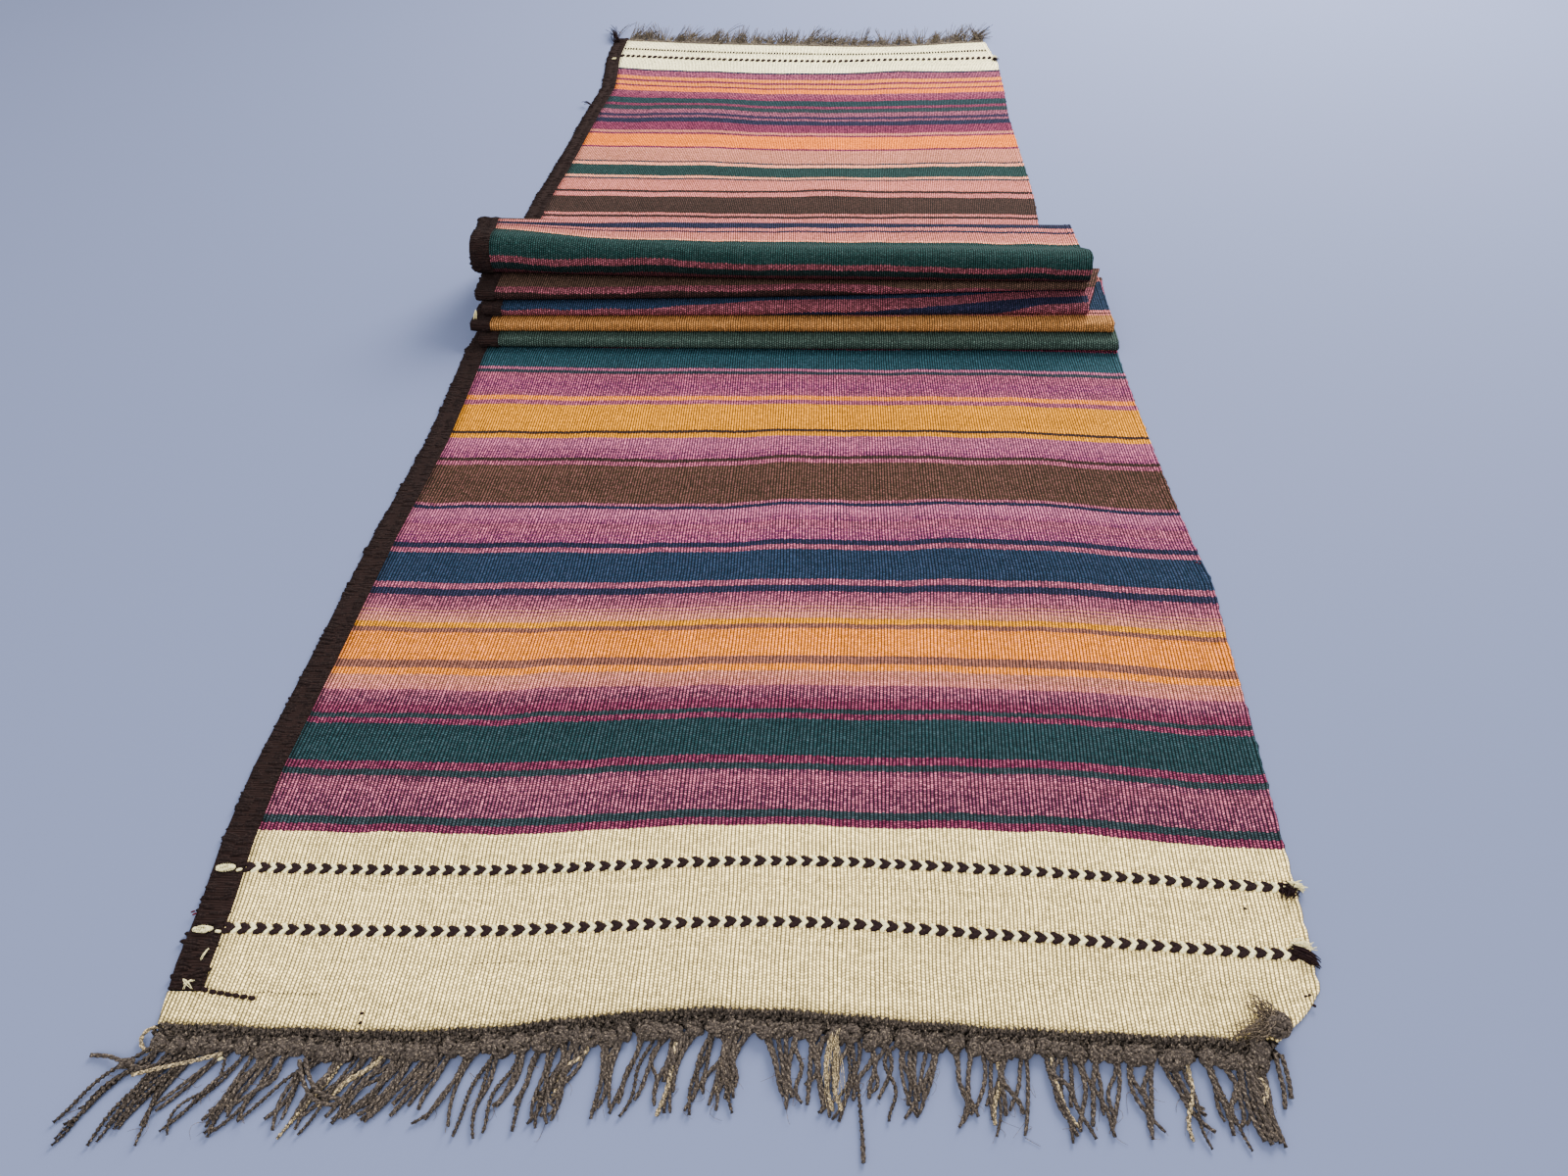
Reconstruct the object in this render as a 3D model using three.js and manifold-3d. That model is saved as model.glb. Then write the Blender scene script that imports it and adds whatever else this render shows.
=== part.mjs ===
// A flat-woven wool runner lying on the floor. Its two ends lie flat, and the slack in the middle
// is pleated back and forth into a low pile of five folds, so that the runner takes up less floor.
// It is one sheet of cloth with a thick dark binding worked down its left edge, a knotted heading
// with a fringe at each end, and the yarn tails of its twined lines at both sides.
//
// Units are millimetres, +Z is up and +Y runs along the runner from its near end to its far end.
// Heights start at the floor. Distances along the runner are counted from its near edge, and the
// whole group is moved at the end so that the origin is the middle of its footprint on the floor.
import * as THREE from 'three';
import Module from 'manifold-3d';
import { mergeVertices } from 'three/addons/utils/BufferGeometryUtils.js';

const wasm = await Module();
wasm.setup();

// Thicknesses and clearances. The binding's edges are rounded over BINDING_ROUND.
const CLOTH_THICK = 2.8;
const BINDING_THICK = 3.8;
const BINDING_WIDE = 26;
const BINDING_ROUND = 3.2;
const GAP = 0.3;

// How many points each weft row of the cloth has across it.
const CLOTH_PLACES = 14;

// The cloth is bare right up to its left edge for this far from its near edge. Past it the edge
// steps in, and the dark binding starts beside it.
const BARE_END = 20;
const BINDING_START = 23.5;

// The middle of the footprint, seen from the left-right zero line and the near edge.
const FOOTPRINT_MIDDLE = { x: 0, y: 1040 };

// Cloth outline where it lies flat: left is the binding's outer edge, right the bare selvedge.
const NEAR_OUTLINE = [
  { along: 0, left: -412, right: 373 },
  { along: 19, left: -415, right: 390 },
  { along: 23, left: -416, right: 394 },
  { along: 24, left: -416, right: 395 },
  { along: 42, left: -419, right: 412 },
  { along: 94, left: -422, right: 418 },
  { along: 150, left: -428, right: 421 },
  { along: 222, left: -431, right: 425 },
  { along: 300, left: -428, right: 429 },
  { along: 389, left: -425, right: 432 },
  { along: 472, left: -423, right: 437 },
  { along: 530, left: -421, right: 431 },
  { along: 604, left: -416, right: 426 },
  { along: 700, left: -411, right: 422 },
  { along: 785, left: -411, right: 419 },
  { along: 850, left: -412, right: 417 },
  { along: 890, left: -413, right: 417 },
];
const FAR_OUTLINE = [
  { along: 1200, left: -417, right: 363 },
  { along: 1271, left: -417, right: 362 },
  { along: 1352, left: -415, right: 366 },
  { along: 1436, left: -408, right: 366 },
  { along: 1530, left: -402, right: 364 },
  { along: 1697, left: -394, right: 361 },
  { along: 1820, left: -385, right: 366 },
  { along: 1895, left: -391, right: 367 },
  { along: 1960, left: -398, right: 368 },
  { along: 2012, left: -400, right: 362 },
  { along: 2080, left: -399, right: 354 },
];

// Weft lines aren't quite straight. A row for each place along the cloth says how far its weft
// line lies from straight at five places across it.
const WEFT_BOW = [
  { along: 0, across: [-5, -4, 19, 11, 8] },
  { along: 70, across: [1, 4, 18, 13, 4] },
  { along: 159, across: [0, 3, 18, 18, 9] },
  { along: 720, across: [3, 1, 11, 16, 7] },
  { along: 890, across: [0, 0, 0, 0, 0] },
  { along: 1200, across: [0, 0, 0, 0, 0] },
  { along: 1450, across: [6, 0, -6, -4, 3] },
  { along: 1920, across: [24, 5, -8, -3, 10] },
  { along: 2080, across: [26, 4, -8, -13, 14] },
];

// The pile, a row for each turn of the cloth in the order that it makes them. turn is -1 where the
// cloth rolls up and back at the near side, 1 where it rolls up and forward at the far side. along,
// low and radius are given at evenly spaced places from the left to the right of the cloth, where
// low is the lowest point of the turn's centre line. steps is how many facets the turn is made of.
const ROUND = [5, 5, 5];
const level = (high) => [high, high, high];
const FOLDS = [
  { turn: 1, along: [1064, 1061, 1058], low: level(0), radius: ROUND, left: -402, right: 419, steps: 5 },
  { turn: -1, along: [909, 910, 914], low: level(6.2), radius: ROUND, left: -396, right: 417, steps: 5 },
  { turn: 1, along: [1052, 1056, 1060], low: level(15.9), radius: ROUND, left: -404, right: 417, steps: 5 },
  { turn: -1, along: [923, 928, 934], low: level(20.5), radius: ROUND, left: -407, right: 412, steps: 5 },
  { turn: 1, along: [1066, 1062, 1057], low: level(30.2), radius: ROUND, left: -401, right: 411, steps: 5 },
  { turn: -1, along: [937, 944, 953], low: level(34.8), radius: ROUND, left: -393, right: 381, steps: 5 },
  { turn: 1, along: [1062, 1068, 1072], low: level(44.5), radius: ROUND, left: -398, right: 384, steps: 5 },
  { turn: -1, along: [951, 966, 989], low: level(49.1), radius: ROUND, left: -402, right: 382, steps: 5 },
  { turn: 1, along: [1078, 1080, 1079], low: level(58.8), radius: ROUND, left: -405, right: 381, steps: 5 },
  {
    turn: -1,
    along: [1003, 994, 989, 988, 987],
    low: level(63.4),
    radius: [24.5, 21, 19, 18.5, 18],
    left: -409,
    right: 381,
    steps: 9,
  },
  {
    turn: 1,
    along: [1024, 1042, 1047, 1045, 1042],
    low: [110, 84, 81, 81, 81],
    radius: [10, 30, 36, 33, 30],
    left: -409,
    right: 376,
    steps: 3,
  },
  {
    turn: -1,
    along: [1047, 1090, 1096, 1095, 1094],
    low: [70, 42, 38, 38, 38],
    radius: [20, 22, 22, 22, 22],
    left: -411,
    right: 373,
    steps: 5,
  },
  { turn: 1, along: [1166, 1162, 1158], low: level(0), radius: level(35), left: -417, right: 363, steps: 4 },
];

// Soft swells where the flat ends of the cloth don't quite touch the floor.
const SWELLS = [
  { x: 60, along: 70, high: 3.0, wide: 150, long: 120 },
  { x: -210, along: 330, high: 2.5, wide: 160, long: 110 },
  { x: 230, along: 560, high: 3.0, wide: 140, long: 120 },
  { x: -120, along: 740, high: 3.5, wide: 190, long: 90 },
  { x: 250, along: 250, high: 2.0, wide: 120, long: 90 },
  { x: 40, along: 1380, high: 4.0, wide: 210, long: 90 },
  { x: -180, along: 1700, high: 3.0, wide: 150, long: 120 },
  { x: 170, along: 1960, high: 3.0, wide: 140, long: 110 },
];

// Twined lines: two yarns wrapped round each other between the warps stand proud of the upper face.
const TWINED_LINES = [70, 124, 1989, 2030];
const TWINED_HALF = 2.6;
const TWINED_PROUD = 0.9;

// Fringe at the near end, knotted into a heading, with one big knot tied over the right corner.
// A heading has a knot every pitch millimetres, which stands knot higher and deeper than the rest.
const NEAR_HEADING = { deep: 18, high: 6.4, knot: 1.3, pitch: 18, left: -408, right: 366 };
const CORNER_KNOT = { x: 368, y: 9, wide: 12, deep: 13, high: 9, middle: 10.5 };
// Its strands are up to more longer than long, gather in bunches, and lean to the left, in radians.
// The corner values add to this at the left corner, and fade over cornerShare of the width.
const NEAR_STRANDS = {
  count: 104,
  long: 38,
  more: 18,
  thick: 3.2,
  tip: 1.5,
  steps: 3,
  rooted: 4,
  lean: 0.05,
  sway: 0.04,
  inBunch: 5,
  bunch: 2.6,
  cornerLong: 21,
  cornerLean: 0.48,
  cornerShare: 0.15,
};

// Fringe at the far end, where short loose locks have come out of a thin heading.
const FAR_HEADING = { deep: 9, high: 6, knot: 1, pitch: 22, left: -370, right: 348 };
const FAR_LOCKS = {
  count: 54,
  long: 36,
  more: 26,
  thick: 5,
  tip: 1.4,
  steps: 3,
  rooted: 3,
  curl: 5.5,
  curlTurn: 0.9,
};

// The binding runs on past the cloth's far end by this much.
const BINDING_PAST = 14;

// Yarn tails of the twined lines, lying on the binding and on the bare selvedge. inner and outer
// are their ends, counted from the runner's outer edge towards its middle.
const TAILS = [
  { name: 'tail_near_left_1', end: 'near', side: -1, along: 69, inner: 17, outer: 1 },
  { name: 'tail_near_left_2', end: 'near', side: -1, along: 122, inner: 16, outer: 2 },
  { name: 'tail_near_right_1', end: 'near', side: 1, along: 67, inner: 12, outer: -3 },
  { name: 'tail_near_right_2', end: 'near', side: 1, along: 125, inner: 9, outer: -6 },
  { name: 'tail_far_left', end: 'far', side: -1, along: 1989, inner: 23, outer: 12 },
  { name: 'tail_far_right', end: 'far', side: 1, along: 1989, inner: 9, outer: -5 },
];
const TAIL = { wide: 6, high: 4 };

const COLOURS = {
  cloth: 0xa85a72,
  binding: 0x35231f,
  nearFringe: 0x5d5148,
  farFringe: 0x70655c,
  tail: 0xe8e2d2,
};

// Interpolates one column of a table whose rows are in order of along.
function column(table, name, along) {
  const last = table.length - 1;
  let k = 0;
  while (k < last - 1 && along > table[k + 1].along) k += 1;
  const a = table[k];
  const b = table[k + 1];
  const t = Math.min(1, Math.max(0, (along - a.along) / (b.along - a.along)));
  return a[name] + (b[name] - a[name]) * t;
}

// A smooth curve through evenly spaced values given from the left (-1) to the right (1).
function curveThrough(values, u) {
  const points = values.map((value, k) => new THREE.Vector2(k, value));
  return new THREE.SplineCurve(points).getPoint(THREE.MathUtils.clamp((u + 1) / 2, 0, 1)).y;
}

// How far the weft line at the place along lies from straight at the place u across the cloth.
function bow(u, along) {
  const k = Math.max(1, WEFT_BOW.findIndex((row) => row.along >= along));
  const [a, b] = [WEFT_BOW[k - 1], WEFT_BOW[k]];
  const t = (along - a.along) / (b.along - a.along);
  return THREE.MathUtils.lerp(curveThrough(a.across, u), curveThrough(b.across, u), t);
}

// Height of the swells over the floor, each a raised cosine in both directions.
function swell(x, along) {
  let high = 0;
  for (const s of SWELLS) {
    const px = Math.min(1, Math.abs(x - s.x) / s.wide);
    const py = Math.min(1, Math.abs(along - s.along) / s.long);
    high += s.high * 0.25 * (1 + Math.cos(Math.PI * px)) * (1 + Math.cos(Math.PI * py));
  }
  return high;
}

// A repeatable number from 0 to 1 for a piece's own unevenness.
function uneven(n) {
  const s = Math.sin(n * 12.9898 + 4.1) * 43758.5453;
  return s - Math.floor(s);
}

// The turns of the pile at the place u across. Turns that lie on the floor rest at height rest.
function turnsAt(u, rest) {
  return FOLDS.map((fold) => {
    const radius = curveThrough(fold.radius, u);
    const low = Math.max(curveThrough(fold.low, u), rest);
    return { ...fold, y: curveThrough(fold.along, u), z: low + radius, radius };
  });
}

// Heading of the straight run that touches two turns, from the near-far axis, in radians.
function runHeading(a, b) {
  const dy = b.y - a.y;
  const dz = b.z - a.z;
  const offset = (b.turn * b.radius - a.turn * a.radius) / Math.hypot(dy, dz);
  return Math.atan2(dz, dy) - Math.asin(offset);
}

// Centre line through the pile at the place u across: arcs round the turns, joined by the
// straight runs that touch them. Every u gives the same number of points.
function pilePath(u, rest) {
  const turns = turnsAt(u, rest);
  const path = [];
  let heading = 0;
  turns.forEach((turn, k) => {
    const next = turns[k + 1];
    let leaving = next ? runHeading(turn, next) : 0;
    while (turn.turn > 0 && leaving < heading) leaving += 2 * Math.PI;
    while (turn.turn < 0 && leaving > heading) leaving -= 2 * Math.PI;
    for (let step = 0; step <= turn.steps; step += 1) {
      const h = heading + ((leaving - heading) * step) / turn.steps;
      const side = turn.turn * turn.radius;
      path.push({
        y: turn.y + side * Math.sin(h),
        z: turn.z - side * Math.cos(h),
        heading: h,
        left: turn.left,
        right: turn.right,
      });
    }
    heading = leaving;
  });
  return path;
}

// The rows where the cloth lies flat, with extra ones at each twined line for its ridge.
function flatRows(outline) {
  const first = outline[0].along;
  const last = outline[outline.length - 1].along;
  const rows = outline.map((row) => ({ along: row.along, proud: 0 }));
  for (const line of TWINED_LINES) {
    if (line > first && line < last) {
      rows.push({ along: line - TWINED_HALF, proud: 0 });
      rows.push({ along: line, proud: TWINED_PROUD });
      rows.push({ along: line + TWINED_HALF, proud: 0 });
    }
  }
  rows.sort((a, b) => a.along - b.along);
  return rows.map((row) => ({
    ...row,
    left: column(outline, 'left', row.along),
    right: column(outline, 'right', row.along),
  }));
}

const NEAR_ROWS = flatRows(NEAR_OUTLINE);
const FAR_ROWS = flatRows(FAR_OUTLINE);

// The point at a share of the way across a row, counted from inset inside its left edge, and the
// same place as u, which runs from -1 at the left edge to 1 at the right one.
function place(row, inset, share) {
  const wide = row.right - row.left;
  const x = row.left + inset + (wide - inset) * share;
  return { x, u: (2 * (x - row.left)) / wide - 1 };
}

// One lengthwise line of a sheet that rests at height rest: a point for each weft row, with its
// heading and how far a twined line stands proud there.
function lengthwise(share, rest, inset) {
  const flat = (row) => {
    const { x, u } = place(row, row.along < BARE_END ? 0 : inset, share);
    return { ...row, x, y: row.along + bow(u, row.along), z: rest + swell(x, row.along), heading: 0 };
  };
  const { u } = place(FOLDS[0], inset, share);
  const pile = pilePath(u, rest).map((point) => ({ ...point, x: place(point, inset, share).x, proud: 0 }));
  return [...NEAR_ROWS.map(flat), ...pile, ...FAR_ROWS.map(flat)];
}

// A closed body from rings of points, each with the same count. Both ends are capped by strips
// that join the ring's first half to its second, so a bowed end keeps its bow.
function ringSolid(rings) {
  const count = rings[0].length;
  const end = (rings.length - 1) * count;
  const index = [];
  for (let r = 0; r < end; r += count) {
    for (let c = 0; c < count; c += 1) {
      const a = r + c;
      const b = r + ((c + 1) % count);
      index.push(a, b, b + count, a, b + count, a + count);
    }
  }
  for (let c = 0, d = count - 1; c < d; c += 1, d -= 1) {
    if (c + 1 < d) {
      index.push(c, d, c + 1);
      index.push(end + c, end + c + 1, end + d);
    }
    if (c + 1 < d - 1) {
      index.push(c + 1, d, d - 1);
      index.push(end + c + 1, end + d - 1, end + d);
    }
  }
  const geometry = new THREE.BufferGeometry();
  geometry.setAttribute('position', new THREE.Float32BufferAttribute(rings.flat(2), 3));
  geometry.setIndex(index);
  return geometry;
}

// The cloth is one sheet: every ring is a weft row, along its under face and back over its upper
// one. Its left edge stops short of the binding, except where it is bare.
function clothSolid() {
  const half = CLOTH_THICK / 2;
  const lines = [];
  for (let k = 0; k < CLOTH_PLACES; k += 1) {
    lines.push(lengthwise(k / (CLOTH_PLACES - 1), half, BINDING_WIDE + GAP));
  }
  const rings = lines[0].map((row, r) => {
    const face = (side) => lines.map((line) => {
      const { x, y, z, heading, proud } = line[r];
      const out = side * (half + (side > 0 ? proud : 0));
      return [x, y - Math.sin(heading) * out, z + Math.cos(heading) * out];
    });
    return [...face(-1), ...face(1).reverse()];
  });
  return ringSolid(rings.reverse());
}

// The binding runs beside the cloth's left edge and takes every fold with it. Its section is
// flat with rounded edges.
function bindingSolid() {
  const half = BINDING_WIDE / 2;
  const flat = half - BINDING_ROUND;
  const thick = BINDING_THICK / 2;
  const section = [
    [-half, 0],
    [-flat, -thick],
    [flat, -thick],
    [half, 0],
    [flat, thick],
    [-flat, thick],
  ];
  const rows = lengthwise(0, thick, BINDING_WIDE + GAP).filter(
    (row, r) => r >= NEAR_ROWS.length || row.along > BINDING_START,
  );
  const last = rows.at(-1);
  rows.push({ ...last, y: last.y + BINDING_PAST });
  const rings = rows.map((row) =>
    section.map(([wide, up]) => [
      row.x - GAP - half + wide,
      row.y - Math.sin(row.heading) * up,
      row.z + Math.cos(row.heading) * up,
    ]),
  );
  return ringSolid(rings.reverse());
}

// A geometry's shape as a solid that can be joined to others, and back again.
function toSolid(geometry) {
  geometry.deleteAttribute('normal');
  geometry.deleteAttribute('uv');
  const merged = mergeVertices(geometry, 1e-5);
  const vertProperties = new Float32Array(merged.attributes.position.array);
  const triVerts = new Uint32Array(merged.index.array);
  return new wasm.Manifold(new wasm.Mesh({ numProp: 3, vertProperties, triVerts }));
}

function toGeometry(solid) {
  const mesh = solid.getMesh();
  const geometry = new THREE.BufferGeometry();
  geometry.setAttribute('position', new THREE.Float32BufferAttribute(mesh.vertProperties, 3));
  geometry.setIndex(Array.from(mesh.triVerts));
  return geometry;
}

// Where an end row of the cloth lies at the place x, on the straight pieces between its points.
function endEdge(row, inset, x) {
  const pieces = CLOTH_PLACES - 1;
  const share = (x - row.left - inset) / (row.right - row.left - inset);
  const s = THREE.MathUtils.clamp(share, 0, 1) * pieces;
  const k = Math.min(Math.floor(s), pieces - 1);
  const lift = (j) => bow(place(row, inset, j / pieces).u, row.along);
  return row.along + THREE.MathUtils.lerp(lift(k), lift(k + 1), s - k);
}

const nearEdge = (x) => endEdge(NEAR_OUTLINE[0], 0, x);
const farEdge = (x) => endEdge(FAR_OUTLINE.at(-1), BINDING_WIDE + GAP, x);

// A heading: a strip along the cloth's end with a row of knots raised in its back. side is -1 at
// the near end and 1 at the far end.
function headingSolid(heading, edge, side) {
  const { deep, high, knot, pitch, left, right } = heading;
  const stations = 2 * Math.round((right - left) / pitch);
  const rings = [];
  for (let k = 0; k <= stations; k += 1) {
    const x = THREE.MathUtils.lerp(left, right, k / stations);
    const raised = k % 2 === 0 ? knot : -knot;
    const inner = edge(x) + side * GAP;
    const middle = inner + (side * deep) / 2;
    const outer = inner + side * (deep + raised);
    const ring = [
      [x, inner, 0],
      [x, inner, high * 0.7],
      [x, middle, high + raised],
      [x, outer, high * 0.45],
      [x, outer, 0],
    ];
    rings.push(side > 0 ? ring.reverse() : ring);
  }
  return ringSolid(rings);
}

// A three-sided strand that rests on its flat side on the floor, along a plan curve. It is thinner
// towards its tip, and its ridge is as high as its sides are long.
function strandSolid(points, thick, tip) {
  const last = points.length - 1;
  const rings = points.map(([x, y], k) => {
    const [ax, ay] = points[Math.max(0, k - 1)];
    const [bx, by] = points[Math.min(last, k + 1)];
    const run = Math.hypot(bx - ax, by - ay);
    const wide = THREE.MathUtils.lerp(thick, tip, k / last) / 2;
    const sx = ((by - ay) / run) * wide;
    const sy = ((ax - bx) / run) * wide;
    return [
      [x - sx, y - sy, 0],
      [x + sx, y + sy, 0],
      [x, y, wide * Math.sqrt(3)],
    ];
  });
  return ringSolid(rings.reverse());
}

// The place of strand k's root across a heading, which leaves its own half width at each end.
function rootPlace(k, heading, { count, thick }) {
  return THREE.MathUtils.lerp(heading.left + thick, heading.right - thick, k / (count - 1));
}

// Near strands fan out to the left at that corner, gather in small bunches and lie on the floor.
function nearStrand(k) {
  const s = NEAR_STRANDS;
  const x = rootPlace(k, NEAR_HEADING, s);
  const root = nearEdge(x) - GAP - NEAR_HEADING.deep + s.rooted;
  const corner = Math.exp(-k / (s.count - 1) / s.cornerShare);
  const length = s.long + s.more * uneven(k) + s.cornerLong * corner;
  const lean = s.lean + s.cornerLean * corner + s.sway * (2 * uneven(k + s.count) - 1);
  const bunch = s.bunch * Math.sin((2 * Math.PI * k) / s.inBunch);
  const points = [];
  for (let step = 0; step <= s.steps; step += 1) {
    const t = step / s.steps;
    const angle = lean * (0.6 + 0.4 * t);
    const along = length * t;
    points.push([x - along * Math.sin(angle) + bunch * t * t, root - along * Math.cos(angle)]);
  }
  return strandSolid(points, s.thick, s.tip);
}

// Far locks are short, lie on the floor and curl to either side.
function farLock(k) {
  const s = FAR_LOCKS;
  const x = rootPlace(k, FAR_HEADING, s);
  const root = farEdge(x) + GAP + FAR_HEADING.deep - s.rooted;
  const length = s.long + s.more * uneven(k);
  const curl = s.curl * Math.sin(s.curlTurn * k);
  const points = [];
  for (let step = 0; step <= s.steps; step += 1) {
    const t = step / s.steps;
    points.push([x + curl * t * t, root + length * t]);
  }
  return strandSolid(points, s.thick, s.tip);
}

// A heading with its strands fused into it.
function fringeSolid(heading, strand, count) {
  const parts = [toSolid(heading)];
  for (let k = 0; k < count; k += 1) parts.push(toSolid(strand(k)));
  return parts.reduce((whole, part) => whole.add(part));
}

// The big knot at the near right corner: the heading's loose end tied up over the cloth's corner.
// It is a squashed ball with a flat under side that lies on the cloth.
function cornerKnot() {
  const { x, y, wide, deep, high, middle } = CORNER_KNOT;
  const knot = new THREE.SphereGeometry(1, 10, 8);
  knot.rotateX(Math.PI / 2);
  knot.scale(wide, deep, high);
  knot.translate(x, y, middle);
  const floor = CLOTH_THICK + GAP;
  const position = knot.attributes.position;
  for (let k = 0; k < position.count; k += 1) {
    if (position.getZ(k) < floor) position.setZ(k, floor);
  }
  return toSolid(knot);
}

// A tail of twining yarn: a short lump between two places on a sheet's edge, with round ends.
function tailSolid(from, to, y, rest) {
  const { wide, high } = TAIL;
  const shares = [0, 0.25, 0.75, 1];
  const fullness = [0.45, 1, 0.9, 0.3];
  const rings = shares.map((share, k) => {
    const x = THREE.MathUtils.lerp(from, to, share);
    const half = (wide / 2) * fullness[k];
    const top = rest + high * fullness[k];
    return [
      [x, y - half * 0.7, rest],
      [x, y + half * 0.7, rest],
      [x, y + half, (rest + top) / 2],
      [x, y, top],
      [x, y - half, (rest + top) / 2],
    ];
  });
  return ringSolid(to > from ? rings : rings.reverse());
}

// A tail of the list, on the binding at the left and on the cloth at the right.
function tailOf({ end, side, along, inner, outer }) {
  const outline = end === 'near' ? NEAR_OUTLINE : FAR_OUTLINE;
  const edge = column(outline, side < 0 ? 'left' : 'right', along);
  const rest = side < 0 ? BINDING_THICK + GAP : CLOTH_THICK + TWINED_PROUD + GAP;
  return tailSolid(edge - side * inner, edge - side * outer, along + bow(side, along), rest);
}

function piece(name, geometry, colour) {
  const material = new THREE.MeshStandardMaterial({ color: colour, roughness: 0.95, metalness: 0 });
  const mesh = new THREE.Mesh(geometry, material);
  mesh.name = name;
  return mesh;
}

const nearFringe = fringeSolid(
  headingSolid(NEAR_HEADING, nearEdge, -1),
  nearStrand,
  NEAR_STRANDS.count,
).add(cornerKnot());
const farFringe = fringeSolid(headingSolid(FAR_HEADING, farEdge, 1), farLock, FAR_LOCKS.count);

const runner = new THREE.Group();
runner.add(
  piece('kilim_cloth', clothSolid(), COLOURS.cloth),
  piece('side_binding', bindingSolid(), COLOURS.binding),
  piece('near_fringe', toGeometry(nearFringe), COLOURS.nearFringe),
  piece('far_fringe', toGeometry(farFringe), COLOURS.farFringe),
  ...TAILS.map((tail) => piece(tail.name, tailOf(tail), COLOURS.tail)),
);
runner.position.set(-FOOTPRINT_MIDDLE.x, -FOOTPRINT_MIDDLE.y, 0);

export default runner;
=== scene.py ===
"""A striped flat-woven wool runner lying on the floor, its middle pleated into a low pile.

The model is in metres, in the part's own frame: +Z is up, +Y runs along the runner from its near
end to its far end, and the origin is the middle of its footprint on the floor.
"""

import bpy
import numpy as np
from mathutils import Matrix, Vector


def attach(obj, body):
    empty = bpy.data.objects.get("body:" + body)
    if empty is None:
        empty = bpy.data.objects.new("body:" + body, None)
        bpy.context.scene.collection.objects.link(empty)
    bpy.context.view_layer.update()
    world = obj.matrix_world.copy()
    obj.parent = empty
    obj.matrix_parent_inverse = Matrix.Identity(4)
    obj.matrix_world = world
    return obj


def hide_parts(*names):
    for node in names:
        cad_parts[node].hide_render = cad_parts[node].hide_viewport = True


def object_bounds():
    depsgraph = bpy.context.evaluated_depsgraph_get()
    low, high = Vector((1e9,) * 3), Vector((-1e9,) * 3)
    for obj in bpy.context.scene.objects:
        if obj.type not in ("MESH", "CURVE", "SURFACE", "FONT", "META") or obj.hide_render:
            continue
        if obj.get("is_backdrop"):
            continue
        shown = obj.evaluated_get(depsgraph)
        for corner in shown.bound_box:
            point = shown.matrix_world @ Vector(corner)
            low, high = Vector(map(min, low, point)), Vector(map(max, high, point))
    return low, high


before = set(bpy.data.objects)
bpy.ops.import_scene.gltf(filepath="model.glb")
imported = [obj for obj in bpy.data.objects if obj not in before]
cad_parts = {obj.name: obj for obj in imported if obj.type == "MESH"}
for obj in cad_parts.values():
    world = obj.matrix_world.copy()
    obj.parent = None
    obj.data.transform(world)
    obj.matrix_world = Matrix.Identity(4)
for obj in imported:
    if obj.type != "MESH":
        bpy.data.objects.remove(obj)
cad_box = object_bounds()

# The camera stands at the near end, a little to the right of the middle, and looks down along the
# runner. It is turned by its pitch below the horizon, its yaw and its roll, in radians.
EYE = np.array([0.05664, -1.420, 0.77810])
PITCH, YAW, ROLL = 0.7441623, -0.0516152, 0.0174542
SENSOR_MM = 36.0
LENS_MM = 26.55

ahead = np.array([np.sin(YAW) * np.cos(PITCH), np.cos(YAW) * np.cos(PITCH), -np.sin(PITCH)])
level_right = np.array([np.cos(YAW), -np.sin(YAW), 0.0])
level_down = np.cross(ahead, level_right)
right = np.cos(ROLL) * level_right + np.sin(ROLL) * level_down
down = np.cos(ROLL) * level_down - np.sin(ROLL) * level_right

camera_data = bpy.data.cameras.new("camera")
camera_data.sensor_width = SENSOR_MM
camera_data.lens = LENS_MM
camera = bpy.data.objects.new("camera", camera_data)
bpy.context.scene.collection.objects.link(camera)
pose = np.eye(4)
pose[:3, :3] = np.column_stack([right, -down, -ahead])
pose[:3, 3] = EYE
camera.matrix_world = Matrix(pose.tolist())
bpy.context.scene.camera = camera

# A plain pale floor, and soft studio light: a bright sky all round, a broad lamp over the far right
# side that gives the ribs and the folds their shade, and a weaker one from the near end.
FLOOR_SIZE = 14.0
SKY_COLOUR, SKY_STRENGTH = (0.95, 0.97, 1.0, 1.0), 1.2
LAMPS = [
    {"name": "window_lamp", "at": (1.3, 2.0, 2.0), "size": 1.8, "power": 280.0, "colour": (1.0, 0.98, 0.95)},
    {"name": "fill_lamp", "at": (-0.6, -2.4, 2.0), "size": 2.0, "power": 62.0, "colour": (0.98, 0.98, 1.0)},
]


def new_material(name, roughness):
    """A new material, its Principled shader and its node tree."""
    material = bpy.data.materials.new(name)
    material.use_nodes = True
    shader = material.node_tree.nodes["Principled BSDF"]
    shader.inputs["Roughness"].default_value = roughness
    shader.inputs["Specular IOR Level"].default_value = 0.08
    return material, shader, material.node_tree


def new_object(name, points, faces, uv=None):
    """An object from a list of points and of faces, both as arrays, with one UV for each point."""
    mesh = bpy.data.meshes.new(name)
    mesh.from_pydata(points.tolist(), [], faces.tolist())
    if uv is not None:
        layer = mesh.uv_layers.new(name="cloth")
        layer.data.foreach_set("uv", uv[faces.ravel()].ravel())
    mesh.polygons.foreach_set("use_smooth", np.ones(len(faces), bool))
    mesh.update()
    made = bpy.data.objects.new(name, mesh)
    bpy.context.scene.collection.objects.link(made)
    return made


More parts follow.
